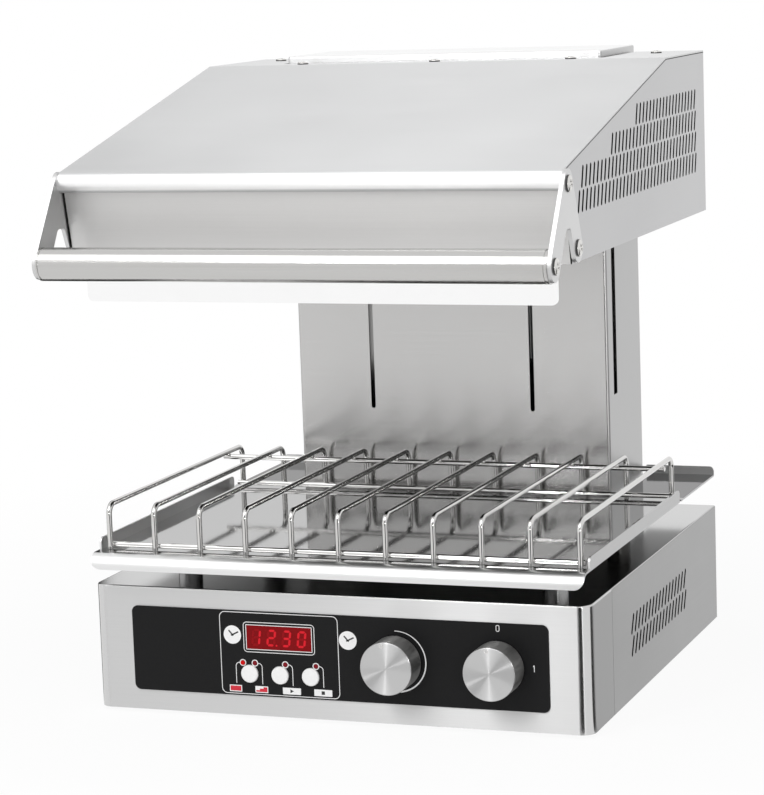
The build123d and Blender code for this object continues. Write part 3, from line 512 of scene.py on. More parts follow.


# Finishes: tone, roughness, then anisotropy and the lines' axis, or grain per metre, variation and bump
# The hood's faces along Y, on its lip, take a near-white tone: a painted highlight
HOOD_STEEL = brushed("hood_steel", (0.59, 0.592, 0.595), 0.36, 0.95, "X", faces=(patch(0.95, 0.3, "Y"),))
PANEL_STEEL = brushed("panel_steel", (0.66, 0.655, 0.65), 0.4, 0.8, "X")
# The fascia's ends, which face along X, take a dark tone: painted shade. Its corners take a smoother
# roughness, and its top a polished finish
FRONT_STEEL = brushed("front_steel", (0.6, 0.6, 0.6), 0.36, 1.0, "X",
                      faces=(patch(0.62, 0.17, "X", 0.06, 0.2), patch(0.3, 0.38, "X", 0.95, 0.99),
                             patch(0.5, 0.09, "Z")))
# The head's sides are a darker steel than the hood: painted shade
SIDE_STEEL = paint_vent_shade(brushed("side_steel", (0.49, 0.49, 0.495), 0.34, 0.6, "Y"), *HEAD_VENTS)
# The base's sides take a dark tone, painted shade; their top takes a lighter polished finish
COVER_STEEL = paint_vent_shade(brushed("cover_steel", (0.31, 0.31, 0.31), 0.38, 0.6, "Y",
                                   faces=(patch(0.5, 0.09, "Z"),)), *BASE_VENTS)
# The column's sides, which face along X, take a darker tone: painted shade
COLUMN_STEEL = brushed("column_steel", (0.56, 0.555, 0.55), 0.19, 0.8, "X", faces=(patch(0.38, 0.3, "X"),))
# The cap takes a near-white tone, painted light, and its ends a darker tone, painted shade
CAP_STEEL = brushed("cap_steel", (0.85, 0.85, 0.85), 0.3, 0.6, "X", faces=(patch(0.5, 0.3, "X"),))
TUBE_STEEL = brushed("tube_steel", (0.57, 0.565, 0.555), 0.2, 0.7, "X", (1.0, 0.0, 0.02))
BRACKET_STEEL = brushed("bracket_steel", (0.63, 0.63, 0.63), 0.34, 0.5, "Z")
# The tray's tones are painted light and shade: a dark tone behind the wing front and a light one in front of
# it, other tones on the faces along X and Y, on the underside and on the flange's bend
TRAY_STEEL = polished("tray_steel", (0.3, 0.3, 0.3), 0.06, tint=0.62,
                      faces=(patch(0.8, 0.06, under=("Y", TRAY_WING_FRONT)), patch(0.7, 0.3, "X"),
                             patch(0.6, 0.3, "Y"), patch(0.4, 0.3, "Z", under=("Z", TRAY_UNDERSIDE)),
                             patch(0.79, 0.36, "Y", 0.08, 0.3, ("Y", TRAY_FLANGE_BACK))))
# The posts are near black behind their middle, painted shade, and lighter in front of it
POST_STEEL = polished("post_steel", (0.08, 0.078, 0.075), 0.25,
                      faces=(patch(0.45, 0.12, under=("Y", POSTS_MIDDLE)),))
# The deflector takes a near-white tone: painted light
DEFLECTOR_STEEL = polished("deflector_steel", (0.96, 0.96, 0.96), 0.12)
WIRE_STEEL = polished("wire_steel", (0.66, 0.655, 0.645), 0.06)
SCREW_STEEL = polished("screw_steel", (0.72, 0.71, 0.69), 0.2)
# Near-black walls of the screw heads: painted shade round each head
SCREW_WALL_SHADE = coated("screw_wall_shade", (0.05, 0.05, 0.05), 0.4, 700.0, 0.2, 0.1)
SEAM_SHADE = coated("seam_shade", (0.06, 0.06, 0.06), 0.6, 700.0, 0.2, 0.1)
GROUND_STEEL = polished("ground_steel", (0.6, 0.6, 0.6), 0.15)
ZINC = brushed("zinc_plate", (0.55, 0.56, 0.57), 0.4, 0.3, "Y")
# A near-black steel on the head's underside
DARK_UNDERSIDE_STEEL = brushed("dark_underside_plate", (0.1, 0.095, 0.09), 0.45, 0.3, "Y")
CAST = coated("cast_iron", (0.05, 0.05, 0.05), 0.6, 500.0, 0.3, 0.25)
# The carriage and spindle take a dark tone, which stands for the shade inside the column: painted shade
ALLOY = brushed("cast_alloy", (0.22, 0.22, 0.22), 0.42, 0.2, "Y")
BRONZE = brushed("bush_bronze", (0.55, 0.38, 0.17), 0.35, 0.2, "Y")
ROPE = brushed("rope_wire", (0.42, 0.42, 0.42), 0.4, 0.3, "Z")
# The knobs' round sides take a dark tone, painted shade, and their faces a lighter one
KNOB_METAL = turned("knob_metal", (0.24, 0.238, 0.234), 0.34, 1.0, faces=(patch(0.58, 0.34, "Y"),))
PANEL_FILM = coated("panel_film", (0.012, 0.012, 0.0125), 0.42, 1500.0, 0.15, 0.06, 0.1)
WHITE_PRINT = coated("white_print", (0.9, 0.9, 0.9), 0.5, 900.0, 0.03, 0.02)
BLACK_PRINT = coated("black_print", (0.015, 0.015, 0.015), 0.5, 900.0, 0.1, 0.02)
RED_PRINT = coated("red_print", (0.62, 0.015, 0.035), 0.5, 900.0, 0.05, 0.02)
WHITE_PLASTIC = coated("white_plastic", (0.92, 0.92, 0.915), 0.38, 700.0, 0.02, 0.03)
BLACK_PLASTIC = coated("black_plastic", (0.02, 0.02, 0.02), 0.45, 800.0, 0.2, 0.1)
GREY_PLASTIC = coated("grey_plastic", (0.3, 0.3, 0.3), 0.5, 800.0, 0.1, 0.1)
BOARD = coated("board_green", (0.02, 0.12, 0.05), 0.4, 400.0, 0.15, 0.05)
RUBBER = coated("foot_rubber", (0.02, 0.02, 0.02), 0.8, 700.0, 0.2, 0.2)
FIBRE = coated("ceramic_fibre", (0.7, 0.68, 0.63), 0.9, 350.0, 0.12, 0.5)
HEATER = coated("heater_alloy", (0.12, 0.09, 0.075), 0.55, 300.0, 0.3, 0.2)
PANE = tinted_glass("dark_pane", (0.006, 0.006, 0.007), 0.05)
# The window, the dark bars and the lights that are off glow faintly: painted light, as only the lit bars and
# the first light give light
WINDOW = lit("red_window", (0.2, 0.004, 0.006), 0.12, 0.25)
DIGIT_ON = lit("digit_on", (0.55, 0.013, 0.022), 0.3)
DIGIT_OFF = lit("digit_off", (0.26, 0.005, 0.008), 0.12)
LIGHT_ON = lit("light_on", (0.5, 0.005, 0.005), 0.22)
LIGHT_OFF = lit("light_off", (0.2, 0.012, 0.018), 0.08)

NODE_MATERIALS = {
    HOOD_STEEL: ["hood"],
    PANEL_STEEL: ["front_panel"],
    FRONT_STEEL: ["front_fascia"],
    SIDE_STEEL: ["head_side_left", "head_side_right", "head_rear_panels"],
    COVER_STEEL: ["base_cover"],
    COLUMN_STEEL: ["column_cover", "column_back"],
    CAP_STEEL: ["column_cap"],
    TUBE_STEEL: ["handle_bar"],
    BRACKET_STEEL: ["handle_bracket_left", "handle_bracket_right"],
    TRAY_STEEL: ["drip_tray"],
    POST_STEEL: ["tray_posts"],
    DEFLECTOR_STEEL: ["deflector"],
    WIRE_STEEL: ["wire_rack"],
    SCREW_STEEL: ["handle_screws", "hood_screws", "back_screws"],
    DARK_UNDERSIDE_STEEL: ["head_bottom"],
    GROUND_STEEL: ["guide_rods", "weight_rods", "heat_shaft", "power_shaft"],
    ZINC: ["base_plate", "head_inner_wall", "lower_rod_bracket", "upper_rod_bracket",
           "pulley_hangers", "board_standoffs"],
    CAST: ["counterweight", "transformer"],
    ALLOY: ["carriage", "pulley_spindle"],
    BRONZE: ["carriage_bushes"],
    ROPE: ["lift_ropes", "weight_ropes", "rope_wraps"],
    KNOB_METAL: ["heat_knob", "power_knob"],
    PANEL_FILM: ["control_panel"],
    WINDOW: ["display_lens"],
    LIGHT_OFF: ["indicator_lights"],
    WHITE_PLASTIC: ["mode_button", "start_button", "stop_button"],
    BLACK_PLASTIC: ["display_module", "button_switches", "heat_regulator", "power_switch", "contactor",
                    "cable_gland"],
    GREY_PLASTIC: ["terminal_block"],
    BOARD: ["timer_board"],
    RUBBER: ["rubber_feet"],
    FIBRE: ["heater_dishes", "insulation_blanket"],
    HEATER: ["heater_ribbons"],
    PANE: ["glass_pane"],
}


def dress_nodes():
    """Give each CAD node its material."""
    for material, names in NODE_MATERIALS.items():
        for name in names:
            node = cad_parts[name]
            node.data.materials.clear()
            node.data.materials.append(material)


# Mesh helpers


def add_piece(name, mesh, material, body):
    """A new piece that rides on a body."""
    mesh.materials.append(material)
    piece = bpy.data.objects.new(name, mesh)
    bpy.context.scene.collection.objects.link(piece)
    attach(piece, body)
    return piece


def finished(name, shape):
    """A mesh from a bmesh, with its faces turned outwards."""
    bmesh.ops.recalc_face_normals(shape, faces=shape.faces)
    mesh = bpy.data.meshes.new(name)
    shape.to_mesh(mesh)
    shape.free()
    return mesh


def add_slab(shape, points, faces, back, thickness):
    """A thin flat solid in front of a plane: (x, z) points, faces as lists of their numbers."""
    front = [shape.verts.new((x, back - thickness, z)) for x, z in points]
    rear = [shape.verts.new((x, back, z)) for x, z in points]
    sides = {}
    for face in faces:
        shape.faces.new([front[i] for i in face])
        shape.faces.new([rear[i] for i in reversed(face)])
        for a, b in zip(face, face[1:] + face[:1]):
            sides[frozenset((a, b))] = None if frozenset((a, b)) in sides else (a, b)
    for pair in filter(None, sides.values()):
        a, b = pair
        shape.faces.new((front[a], rear[a], rear[b], front[b]))


def arc_points(middle, radius, start, stop, steps):
    """Points on a circle from one angle to another."""
    turns = [start + (stop - start) * step / steps for step in range(steps + 1)]
    return [(middle[0] + radius * math.cos(t), middle[1] + radius * math.sin(t)) for t in turns]


def circle_points(middle, radius, steps):
    """Points all round a circle."""
    return arc_points(middle, radius, 0, 2 * math.pi * (1 - 1 / steps), steps - 1)


def box_about(middle, half_width, half_height):
    """The lower left and upper right corners of a rectangle about its middle."""
    x, z = middle
    return (x - half_width, z - half_height), (x + half_width, z + half_height)


def rectangle(low, high):
    """The outline of a rectangle between two (x, z) corners."""
    return [low, (high[0], low[1]), high, (low[0], high[1])]


def rounded_rectangle(low, high, corner, steps=8):
    """The outline of a rectangle with round corners, between two (x, z) corners."""
    outline = []
    quarter = math.pi / 2
    for turn, (x, z) in enumerate(((high[0] - corner, high[1] - corner), (low[0] + corner, high[1] - corner),
                                   (low[0] + corner, low[1] + corner), (high[0] - corner, low[1] + corner))):
        outline += arc_points((x, z), corner, turn * quarter, (turn + 1) * quarter, steps)
    return outline


def add_area(shape, outline, back, thickness):
    """A thin flat solid inside one outline."""
    add_slab(shape, outline, [list(range(len(outline)))], back, thickness)


def add_ring(shape, outer, inner, back, thickness):
    """The band between two closed outlines with as many points each."""
    count = len(outer)
    faces = [[i, (i + 1) % count, count + (i + 1) % count, count + i] for i in range(count)]
    add_slab(shape, outer + inner, faces, back, thickness)


def add_frame(shape, low, high, corner, width, back, thickness):
    """A rounded rectangular line."""
    outer = rounded_rectangle(low, high, corner)
    inner = rounded_rectangle((low[0] + width, low[1] + width), (high[0] - width, high[1] - width),
                              max(corner - width, width / 4))
    add_ring(shape, outer, inner, back, thickness)


def add_circle_ring(shape, middle, outer, inner, back, thickness, steps=40):
    """The band between two circles."""
    add_ring(shape, circle_points(middle, outer, steps), circle_points(middle, inner, steps), back, thickness)


def add_line(shape, points, widths, back, thickness):
    """A ribbon along (x, z) points, with a width at each point."""
    left, right = [], []
    for i, (x, z) in enumerate(points):
        before = points[max(i - 1, 0)]
        after = points[min(i + 1, len(points) - 1)]
        along = Vector((after[0] - before[0], after[1] - before[1])).normalized()
        half = widths[i] / 2
        left.append((x - along.y * half, z + along.x * half))
        right.append((x + along.y * half, z - along.x * half))
    count = len(points)
    faces = [[i, i + 1, count + i + 1, count + i] for i in range(count - 1)]
    add_slab(shape, left + right, faces, back, thickness)


# Places on the control panel, taken from the frame

panel_low, panel_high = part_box("control_panel")
window_low, window_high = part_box("display_lens")
PRINT_LAYER = (panel_low.y, PRINT_THICKNESS)
OVERPRINT_LAYER = (panel_low.y - PRINT_THICKNESS, PRINT_THICKNESS)


def middle_of(node):
    """The middle of a CAD node's box."""
    low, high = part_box(node)
    return (low + high) / 2


BUTTONS = [middle_of(name) for name in ("mode_button", "start_button", "stop_button")]
TIMER_X = BUTTONS[1].x
LIGHTS = [(BUTTONS[0].x + FIRST_LIGHT_SHIFT, BUTTONS[0].z + LIGHT_RISE)]
LIGHTS += [(button.x + LIGHT_SHIFT, button.z + LIGHT_RISE) for button in BUTTONS]
LEADERS = [LIGHTS[0][0] - LEADER_REACH] + [x + LEADER_REACH for x, _ in LIGHTS[1:]]
HEAT_KNOB = middle_of("heat_knob")
POWER_KNOB = middle_of("power_knob")
WINDOW_MIDDLE = ((window_low.x + window_high.x) / 2, (window_low.z + window_high.z) / 2)
WINDOW_HALF = ((window_high.x - window_low.x) / 2 - WINDOW_RIM,
               (window_high.z - window_low.z) / 2 - WINDOW_RIM)
CLOCKS = [(TIMER_X + place, WINDOW_MIDDLE[1] + CLOCK_RISE) for place in (CLOCK_LEFT, CLOCK_RIGHT)]
LABEL_MIDDLE = BUTTONS[0].z - LABEL_DROP
LABELS = [(leader + shift, width) for leader, shift, width in zip(LEADERS, LABEL_SHIFTS, LABEL_WIDTHS)]


# Print, digits and marks


def add_window_frame(shape, border, corner):
    """A line round the display window."""
    low, high = box_about(WINDOW_MIDDLE, WINDOW_HALF[0] + border, WINDOW_HALF[1] + border)
    add_frame(shape, low, high, corner, LINE_WIDTH, *PRINT_LAYER)


def add_light_ring(shape, light, leader):
    """The ring round a light, and the line that leads from it down to its label."""
    add_circle_ring(shape, light, LIGHT_RING_OUTER, LIGHT_RING_INNER, *PRINT_LAYER)
    way = 1 if leader > light[0] else -1
    start = math.pi / 2
    bend = arc_points((leader - way * LEADER_BEND, light[1] - LEADER_BEND), LEADER_BEND,
                      start, start - way * math.pi / 2, LEADER_STEPS)
    line = [(light[0] + way * LIGHT_RING_OUTER, light[1])] + bend + [(leader, light[1] - LEADER_DROP)]
    add_line(shape, line, [LINE_WIDTH] * len(line), *PRINT_LAYER)


def add_dial_marks(shape):
    """The tapered arc round the heat knob, and 0 and 1 at the power knob."""
    arc = arc_points((HEAT_KNOB.x, HEAT_KNOB.z), SCALE_RADIUS, SCALE_START, SCALE_END, SCALE_STEPS)
    grow = (SCALE_END_WIDTH - SCALE_START_WIDTH) / SCALE_STEPS
    add_line(shape, arc, [SCALE_START_WIDTH + grow * i for i in range(SCALE_STEPS + 1)], *PRINT_LAYER)
    zero = (POWER_KNOB.x, POWER_KNOB.z + ZERO_RISE)
    low, high = box_about(zero, DIAL_NUMBER_WIDTH / 2, DIAL_NUMBER_HEIGHT / 2)
    add_frame(shape, low, high, ZERO_CORNER, LINE_WIDTH, *PRINT_LAYER)
    one = (POWER_KNOB.x + ONE_SHIFT, POWER_KNOB.z)
    low, high = box_about(one, ONE_STEM / 2, DIAL_NUMBER_HEIGHT / 2)
    flag = [(low[0] - ONE_FLAG, high[1] - ONE_FLAG), (low[0], high[1] - ONE_FLAG_FOOT)]
    add_area(shape, rectangle(low, high) + flag, *PRINT_LAYER)


def print_white():
    """The white outlines, rings, leader lines, labels and dial marks."""
    shape = bmesh.new()
    low = (TIMER_X - TIMER_LEFT_REACH, panel_low.z + TIMER_MARGIN)
    high = (TIMER_X + TIMER_RIGHT_REACH, panel_high.z - TIMER_MARGIN)
    add_frame(shape, low, high, TIMER_CORNER, LINE_WIDTH, *PRINT_LAYER)
    add_window_frame(shape, DISPLAY_BORDER, DISPLAY_CORNER)
    add_window_frame(shape, LINE_WIDTH, WINDOW_CORNER)
    for light, leader in zip(LIGHTS, LEADERS):
        add_light_ring(shape, light, leader)
    for clock in CLOCKS:
        add_area(shape, circle_points(clock, CLOCK_RADIUS, CLOCK_STEPS), *PRINT_LAYER)
    for x, width in LABELS:
        low, high = box_about((x, LABEL_MIDDLE), width / 2, LABEL_HEIGHT / 2)
        add_area(shape, rounded_rectangle(low, high, LABEL_CORNER, 2), *PRINT_LAYER)
    add_dial_marks(shape)
    add_piece("panel_print", finished("panel_print", shape), WHITE_PRINT, "base")


def print_black():
    """The clock hands, and the triangle and square on the last two labels."""
    shape = bmesh.new()
    for x, z in CLOCKS:
        for hand in (CLOCK_SHORT_HAND, CLOCK_LONG_HAND):
            tail = (x - hand[0] * CLOCK_TAIL_SHARE, z - hand[1] * CLOCK_TAIL_SHARE)
            add_line(shape, [tail, (x + hand[0], z + hand[1])], [CLOCK_LINE] * 2, *OVERPRINT_LAYER)
    x = LABELS[2][0]
    add_area(shape, [(x - TRIANGLE_BACK, LABEL_MIDDLE - SIGN_HALF), (x + SIGN_HALF, LABEL_MIDDLE),
                     (x - TRIANGLE_BACK, LABEL_MIDDLE + SIGN_HALF)], *OVERPRINT_LAYER)
    low, high = box_about((LABELS[3][0], LABEL_MIDDLE), SQUARE_HALF, SQUARE_HALF)
    add_area(shape, rectangle(low, high), *OVERPRINT_LAYER)
    add_piece("panel_signs", finished("panel_signs", shape), BLACK_PRINT, "base")


def print_red():
    """The full-power bar and the rising steps on the first two labels."""
    shape = bmesh.new()
    half = LABEL_HEIGHT / 2 - LABEL_BORDER
    x, width = LABELS[0]
    low, high = box_about((x, LABEL_MIDDLE), width / 2 - LABEL_BORDER, half)
    add_area(shape, rectangle(low, high), *OVERPRINT_LAYER)
    x, width = LABELS[1]
    low, high = box_about((x, LABEL_MIDDLE), width / 2 - LABEL_BORDER, half)
    run, rise = (high[0] - low[0]) / HEAT_STEPS, (high[1] - low[1]) / HEAT_STEPS
    outline = [low, (high[0], low[1])]
    for step in range(HEAT_STEPS, 0, -1):
        height = low[1] + rise * step
        outline += [(low[0] + run * step, height), (low[0] + run * (step - 1), height)]
    add_area(shape, outline, *OVERPRINT_LAYER)
    add_piece("panel_heat_signs", finished("panel_heat_signs", shape), RED_PRINT, "base")


def segment_outline(name, corner):
    """One bar of a seven-part digit, about the digit's lower left corner, before the slant."""
    half = DIGIT_STROKE / 2
    left, right = half, DIGIT_WIDTH - half
    low, middle, top = half, DIGIT_HEIGHT / 2, DIGIT_HEIGHT - half
    ends = {"a": ((left, top), (right, top)), "b": ((right, middle), (right, top)),
            "c": ((right, low), (right, middle)), "d": ((left, low), (right, low)),
            "e": ((left, low), (left, middle)), "f": ((left, middle), (left, top)),
            "g": ((left, middle), (right, middle))}
    first, last = (Vector(end) for end in ends[name])
    along = (last - first).normalized()
    across = Vector((-along.y, along.x)) * half
    first += along * DIGIT_GAP
    last -= along * DIGIT_GAP
    points = [first, first + along * half - across, last - along * half - across, last,
              last - along * half + across, first + along * half + across]
    return [(corner[0] + p.x + p.y * DIGIT_SLANT, corner[1] + p.y) for p in points]


def digits():
    """Four seven-part digits on the window: lit bars and dark bars are a piece each."""
    on, off = bmesh.new(), bmesh.new()
    back = window_low.y
    count = len(DIGIT_TEXT)
    slant_shift = DIGIT_HEIGHT * DIGIT_SLANT / 2
    for place, digit in enumerate(DIGIT_TEXT):
        x = WINDOW_MIDDLE[0] + (place - (count - 1) / 2) * DIGIT_PITCH - DIGIT_WIDTH / 2 - slant_shift
        corner = (x, WINDOW_MIDDLE[1] - DIGIT_HEIGHT / 2)
        for name in "abcdefg":
            bars = on if name in SEGMENTS[digit] else off
            add_area(bars, segment_outline(name, corner), back, PRINT_THICKNESS)
        if place == POINT_AFTER:
            dot = (x + DIGIT_WIDTH + POINT_SHIFT, corner[1] + POINT_RADIUS)
            add_area(on, circle_points(dot, POINT_RADIUS, POINT_STEPS), back, PRINT_THICKNESS)
    add_piece("display_digits_on", finished("display_digits_on", on), DIGIT_ON, "base")
    add_piece("display_digits_off", finished("display_digits_off", off), DIGIT_OFF, "base")


def first_light():
    """The one light that is on: a domed cap over its lamp."""
    shape = bmesh.new()
    low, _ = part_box("indicator_lights")
    x, z = LIGHTS[0]
    loops = []
    for ring in range(CAP_RINGS):
        lift = math.pi / 2 * ring / CAP_RINGS
        y = low.y - CAP_RISE * math.sin(lift)
        circle = circle_points((x, z), CAP_RADIUS * math.cos(lift), CAP_STEPS)
        loops.append([shape.verts.new((across, y, up)) for across, up in circle])
    tip = shape.verts.new((x, low.y - CAP_RISE, z))
    for i in range(CAP_STEPS):
        j = (i + 1) % CAP_STEPS
        for a, b in zip(loops, loops[1:]):
            shape.faces.new((a[i], a[j], b[j], b[i]))
        shape.faces.new((loops[-1][i], loops[-1][j], tip))
    shape.faces.new(list(reversed(loops[0])))
    add_piece("first_light_cap", finished("first_light_cap", shape), LIGHT_ON, "base")


def knob_index(name, knob, angle, body):
    """A small raised ring round a well, near the rim of a knob's face."""
    low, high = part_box(knob)
    radius = (high.x - low.x) / 2 * INDEX_PLACE_SHARE
    knob_middle = middle_of(knob)
    middle = (knob_middle.x + radius * math.cos(angle), knob_middle.z + radius * math.sin(angle))
    shape = bmesh.new()
    add_circle_ring(shape, middle, INDEX_OUTER, INDEX_INNER, low.y, INDEX_PROUD, INDEX_STEPS)
    add_piece(name, finished(name, shape), SCREW_STEEL, body)
    shape = bmesh.new()
    add_area(shape, circle_points(middle, INDEX_INNER, INDEX_STEPS), low.y, INDEX_WELL_PROUD)
    add_piece(name + "_well", finished(name + "_well", shape), GROUND_STEEL, body)


# Screws, welds, ropes and seams


def add_screw(shape, foot, out, radius, height):
    """A domed round head with a cross in it, on a place, along a direction."""
    out = Vector(out)
    along = out.orthogonal().normalized()
    across = out.cross(along)
    wall = height * SCREW_WALL_SHARE
    drive = radius * DRIVE_LENGTH_SHARE

    def point(ring, turn):
        reach = radius * ring / SCREW_RINGS
        u, v = reach * math.cos(turn), reach * math.sin(turn)
        rise = wall + (height - wall) * math.sqrt(1 - (ring / SCREW_RINGS) ** 2)
        if min(abs(u), abs(v)) < radius * DRIVE_WIDTH_SHARE and max(abs(u), abs(v)) < drive:
            rise -= radius * DRIVE_DEPTH_SHARE
        return foot + along * u + across * v + out * rise

    turns = [2 * math.pi * i / SCREW_STEPS for i in range(SCREW_STEPS)]
    loops = [[shape.verts.new(point(ring, turn)) for turn in turns] for ring in range(1, SCREW_RINGS + 1)]
    low = [shape.verts.new(foot + (along * math.cos(turn) + across * math.sin(turn)) * radius)
           for turn in turns]
    tip = shape.verts.new(point(0, 0))
    for i in range(SCREW_STEPS):
        j = (i + 1) % SCREW_STEPS
        shape.faces.new((tip, loops[0][i], loops[0][j]))
        for inner, outer in zip(loops, loops[1:]):
            shape.faces.new((inner[i], outer[i], outer[j], inner[j])).smooth = True
        # The wall round the head takes the second material, a near-black tone: painted shade
        shape.faces.new((loops[-1][i], low[i], low[j], loops[-1][j])).material_index = 1
    shape.faces.new(low)


def screw_set(node, places, out_of, radius, height, body):
    """All the screws of one node, in place of its plain heads."""
    shape = bmesh.new()
    for place in places:
        add_screw(shape, Vector(place), out_of(place), radius, height)
    name = node + "_detailed"
    piece = add_piece(name, finished(name, shape), SCREW_STEEL, body)
    # The second material paints shade on the heads' walls
    piece.data.materials.append(SCREW_WALL_SHADE)
    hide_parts(node)


def screws():
    """Detailed heads for the screws of the handle, the hood and the column's back."""
    _, bracket_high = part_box("handle_bracket_right")
    _, screw_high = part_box("handle_screws")
    tube = middle_of("handle_bar")
    face = bracket_high.x
    places = [(side * face, tube.y + y, tube.z + z) for side in (-1, 1) for y, z in HANDLE_SCREWS]
    screw_set("handle_screws", places, lambda place: (math.copysign(1, place[0]), 0, 0), HANDLE_SCREW_RADIUS,
              screw_high.x - face, "head")
    radius = SMALL_SCREW_RADIUS
    low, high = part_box("hood_screws")
    front, rear = low.y + radius, high.y - radius
    side = high.x - radius
    places = [(x, front, low.z) for x in (-HOOD_SCREW_SPACING, 0, HOOD_SCREW_SPACING)]
    places += [(-side, rear, low.z), (side, rear, low.z)]
    screw_set("hood_screws", places, lambda place: (0, 0, 1), radius, high.z - low.z, "head")
    low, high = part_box("back_screws")
    heights = (low.z + radius, (low.z + high.z) / 2, high.z - radius)
    places = [(x, low.y, z) for x in (low.x + radius, high.x - radius) for z in heights]
    screw_set("back_screws", places, lambda place: (0, 1, 0), radius, high.y - low.y, "base")


def add_bead(shape, middle, size):
    """A small uneven weld bead."""
    steps = BEAD_STEPS
    x, y, z = middle
    loops = []
    for ring in range(1, steps // 2):
        lift = math.pi * ring / (steps // 2)
        loops.append([])
        for i in range(steps):
            turn = 2 * math.pi * i / steps
            swell = 1 + BEAD_SWELL * math.sin(BEAD_LOBES * turn + ring + x * BEAD_VARIETY)
            reach = math.sin(lift) * swell
            loops[-1].append(shape.verts.new((x + size[0] * math.cos(lift),
                                              y + size[1] * reach * math.cos(turn),
                                              z + size[2] * reach * math.sin(turn))))
    ends = [shape.verts.new((x + way * size[0], y, z)) for way in (1, -1)]
    for i in range(steps):
        j = (i + 1) % steps
        shape.faces.new((ends[0], loops[0][i], loops[0][j])).smooth = True
        shape.faces.new((ends[1], loops[-1][j], loops[-1][i])).smooth = True
        for a, b in zip(loops, loops[1:]):
            shape.faces.new((a[i], b[i], b[j], a[j])).smooth = True


def welds():
    """A bead wherever a wire crosses a rod."""
    low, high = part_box("wire_rack")
    front, rear = low.y + WIRE_RADIUS, high.y - WIRE_RADIUS
    top = high.z - WIRE_RADIUS
    upright = (BEAD[0], BEAD[2], BEAD[1])
    shape = bmesh.new()
    for step in range(WIRE_COUNT):
        x = (step - (WIRE_COUNT - 1) / 2) * WIRE_PITCH
        for y in (front + ROD_BESIDE / 2, rear - ROD_BESIDE / 2):
            add_bead(shape, (x, y, low.z + ROD_RISE), BEAD)
        add_bead(shape, (x, rear - UPPER_ROD_FRONT, top - ROD_BESIDE / 2), upright)
    add_piece("rack_welds", finished("rack_welds", shape), WIRE_STEEL, "rack")


def add_rope(shape, x, y, low, high):
    """A wire rope of twisted strands between two heights."""
    rings = round((high - low) / ROPE_STEP)
    loops = []
    for ring in range(rings + 1):
        rise = (high - low) * ring / rings
        twist = 2 * math.pi * rise / ROPE_LAY
        loops.append([])
        for i in range(ROPE_SIDES):
            turn = 2 * math.pi * i / ROPE_SIDES
            radius = ROPE_RADIUS * (1 - ROPE_GROOVE_SHARE * (1 - abs(math.cos(ROPE_STRANDS / 2 * turn))))
            loops[-1].append(shape.verts.new((x + radius * math.cos(turn + twist),
                                              y + radius * math.sin(turn + twist), low + rise)))
    shape.faces.new(loops[0])
    shape.faces.new(loops[-1])
    for a, b in zip(loops, loops[1:]):
        for i in range(ROPE_SIDES):
            j = (i + 1) % ROPE_SIDES
            shape.faces.new((a[i], a[j], b[j], b[i])).smooth = True


def ropes():
    """Twisted wire ropes in place of the plain ones, which end at their wheels."""
    for node, body in (("lift_ropes", "head"), ("weight_ropes", "counterweight")):
        low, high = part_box(node)
        y = (low.y + high.y) / 2
        shape = bmesh.new()
        for x in (low.x + ROPE_RADIUS, high.x - ROPE_RADIUS):
            add_rope(shape, x, y, low.z, high.z)
        mesh = finished(node + "_stranded", shape)
        mesh.materials.append(ROPE)
        piece = bpy.data.objects.new(node + "_stranded", mesh)
        bpy.context.scene.collection.objects.link(piece)
        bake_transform(piece)
        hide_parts(node)


def hood_seams():
    """The dark joint under the hood's sheet on each side of the head."""
    low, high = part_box("hood")
    crease = (high.y - CREASE_BACK, high.z - HOOD_SHEET)
    lip = (low.y + LIP_FRONT, high.z - LIP_DROP - HOOD_SHEET)
    shape = bmesh.new()
    line = [lip, crease, (high.y, high.z - HOOD_SHEET)]
    for side in (-1, 1):
        face = high.x if side > 0 else low.x
        loops = []
        for x in (face, face + side * SEAM_THICKNESS):
            loops.append([shape.verts.new((x, y, z)) for y, z in line]
                         + [shape.verts.new((x, y, z - SEAM_WIDTH)) for y, z in reversed(line)])
        count = len(loops[0])
        for loop in loops:
            shape.faces.new([loop[0], loop[1], loop[4], loop[5]])
            shape.faces.new([loop[1], loop[2], loop[3], loop[4]])
        for i in range(count):
            j = (i + 1) % count
            shape.faces.new((loops[0][i], loops[0][j], loops[1][j], loops[1][i]))
    add_piece("hood_seams", finished("hood_seams", shape), SEAM_SHADE, "head")


# Studio


def seen_directly(nodes, links):
    """1 for camera, glossy and transmission rays, and 0 for the rays that only carry light."""
    path = nodes.new("ShaderNodeLightPath")
    value = path.outputs["Is Camera Ray"]
    for name in ("Is Glossy Ray", "Is Transmission Ray"):
        value = calculated(nodes, links, "MAXIMUM", value, path.outputs[name])
    return value


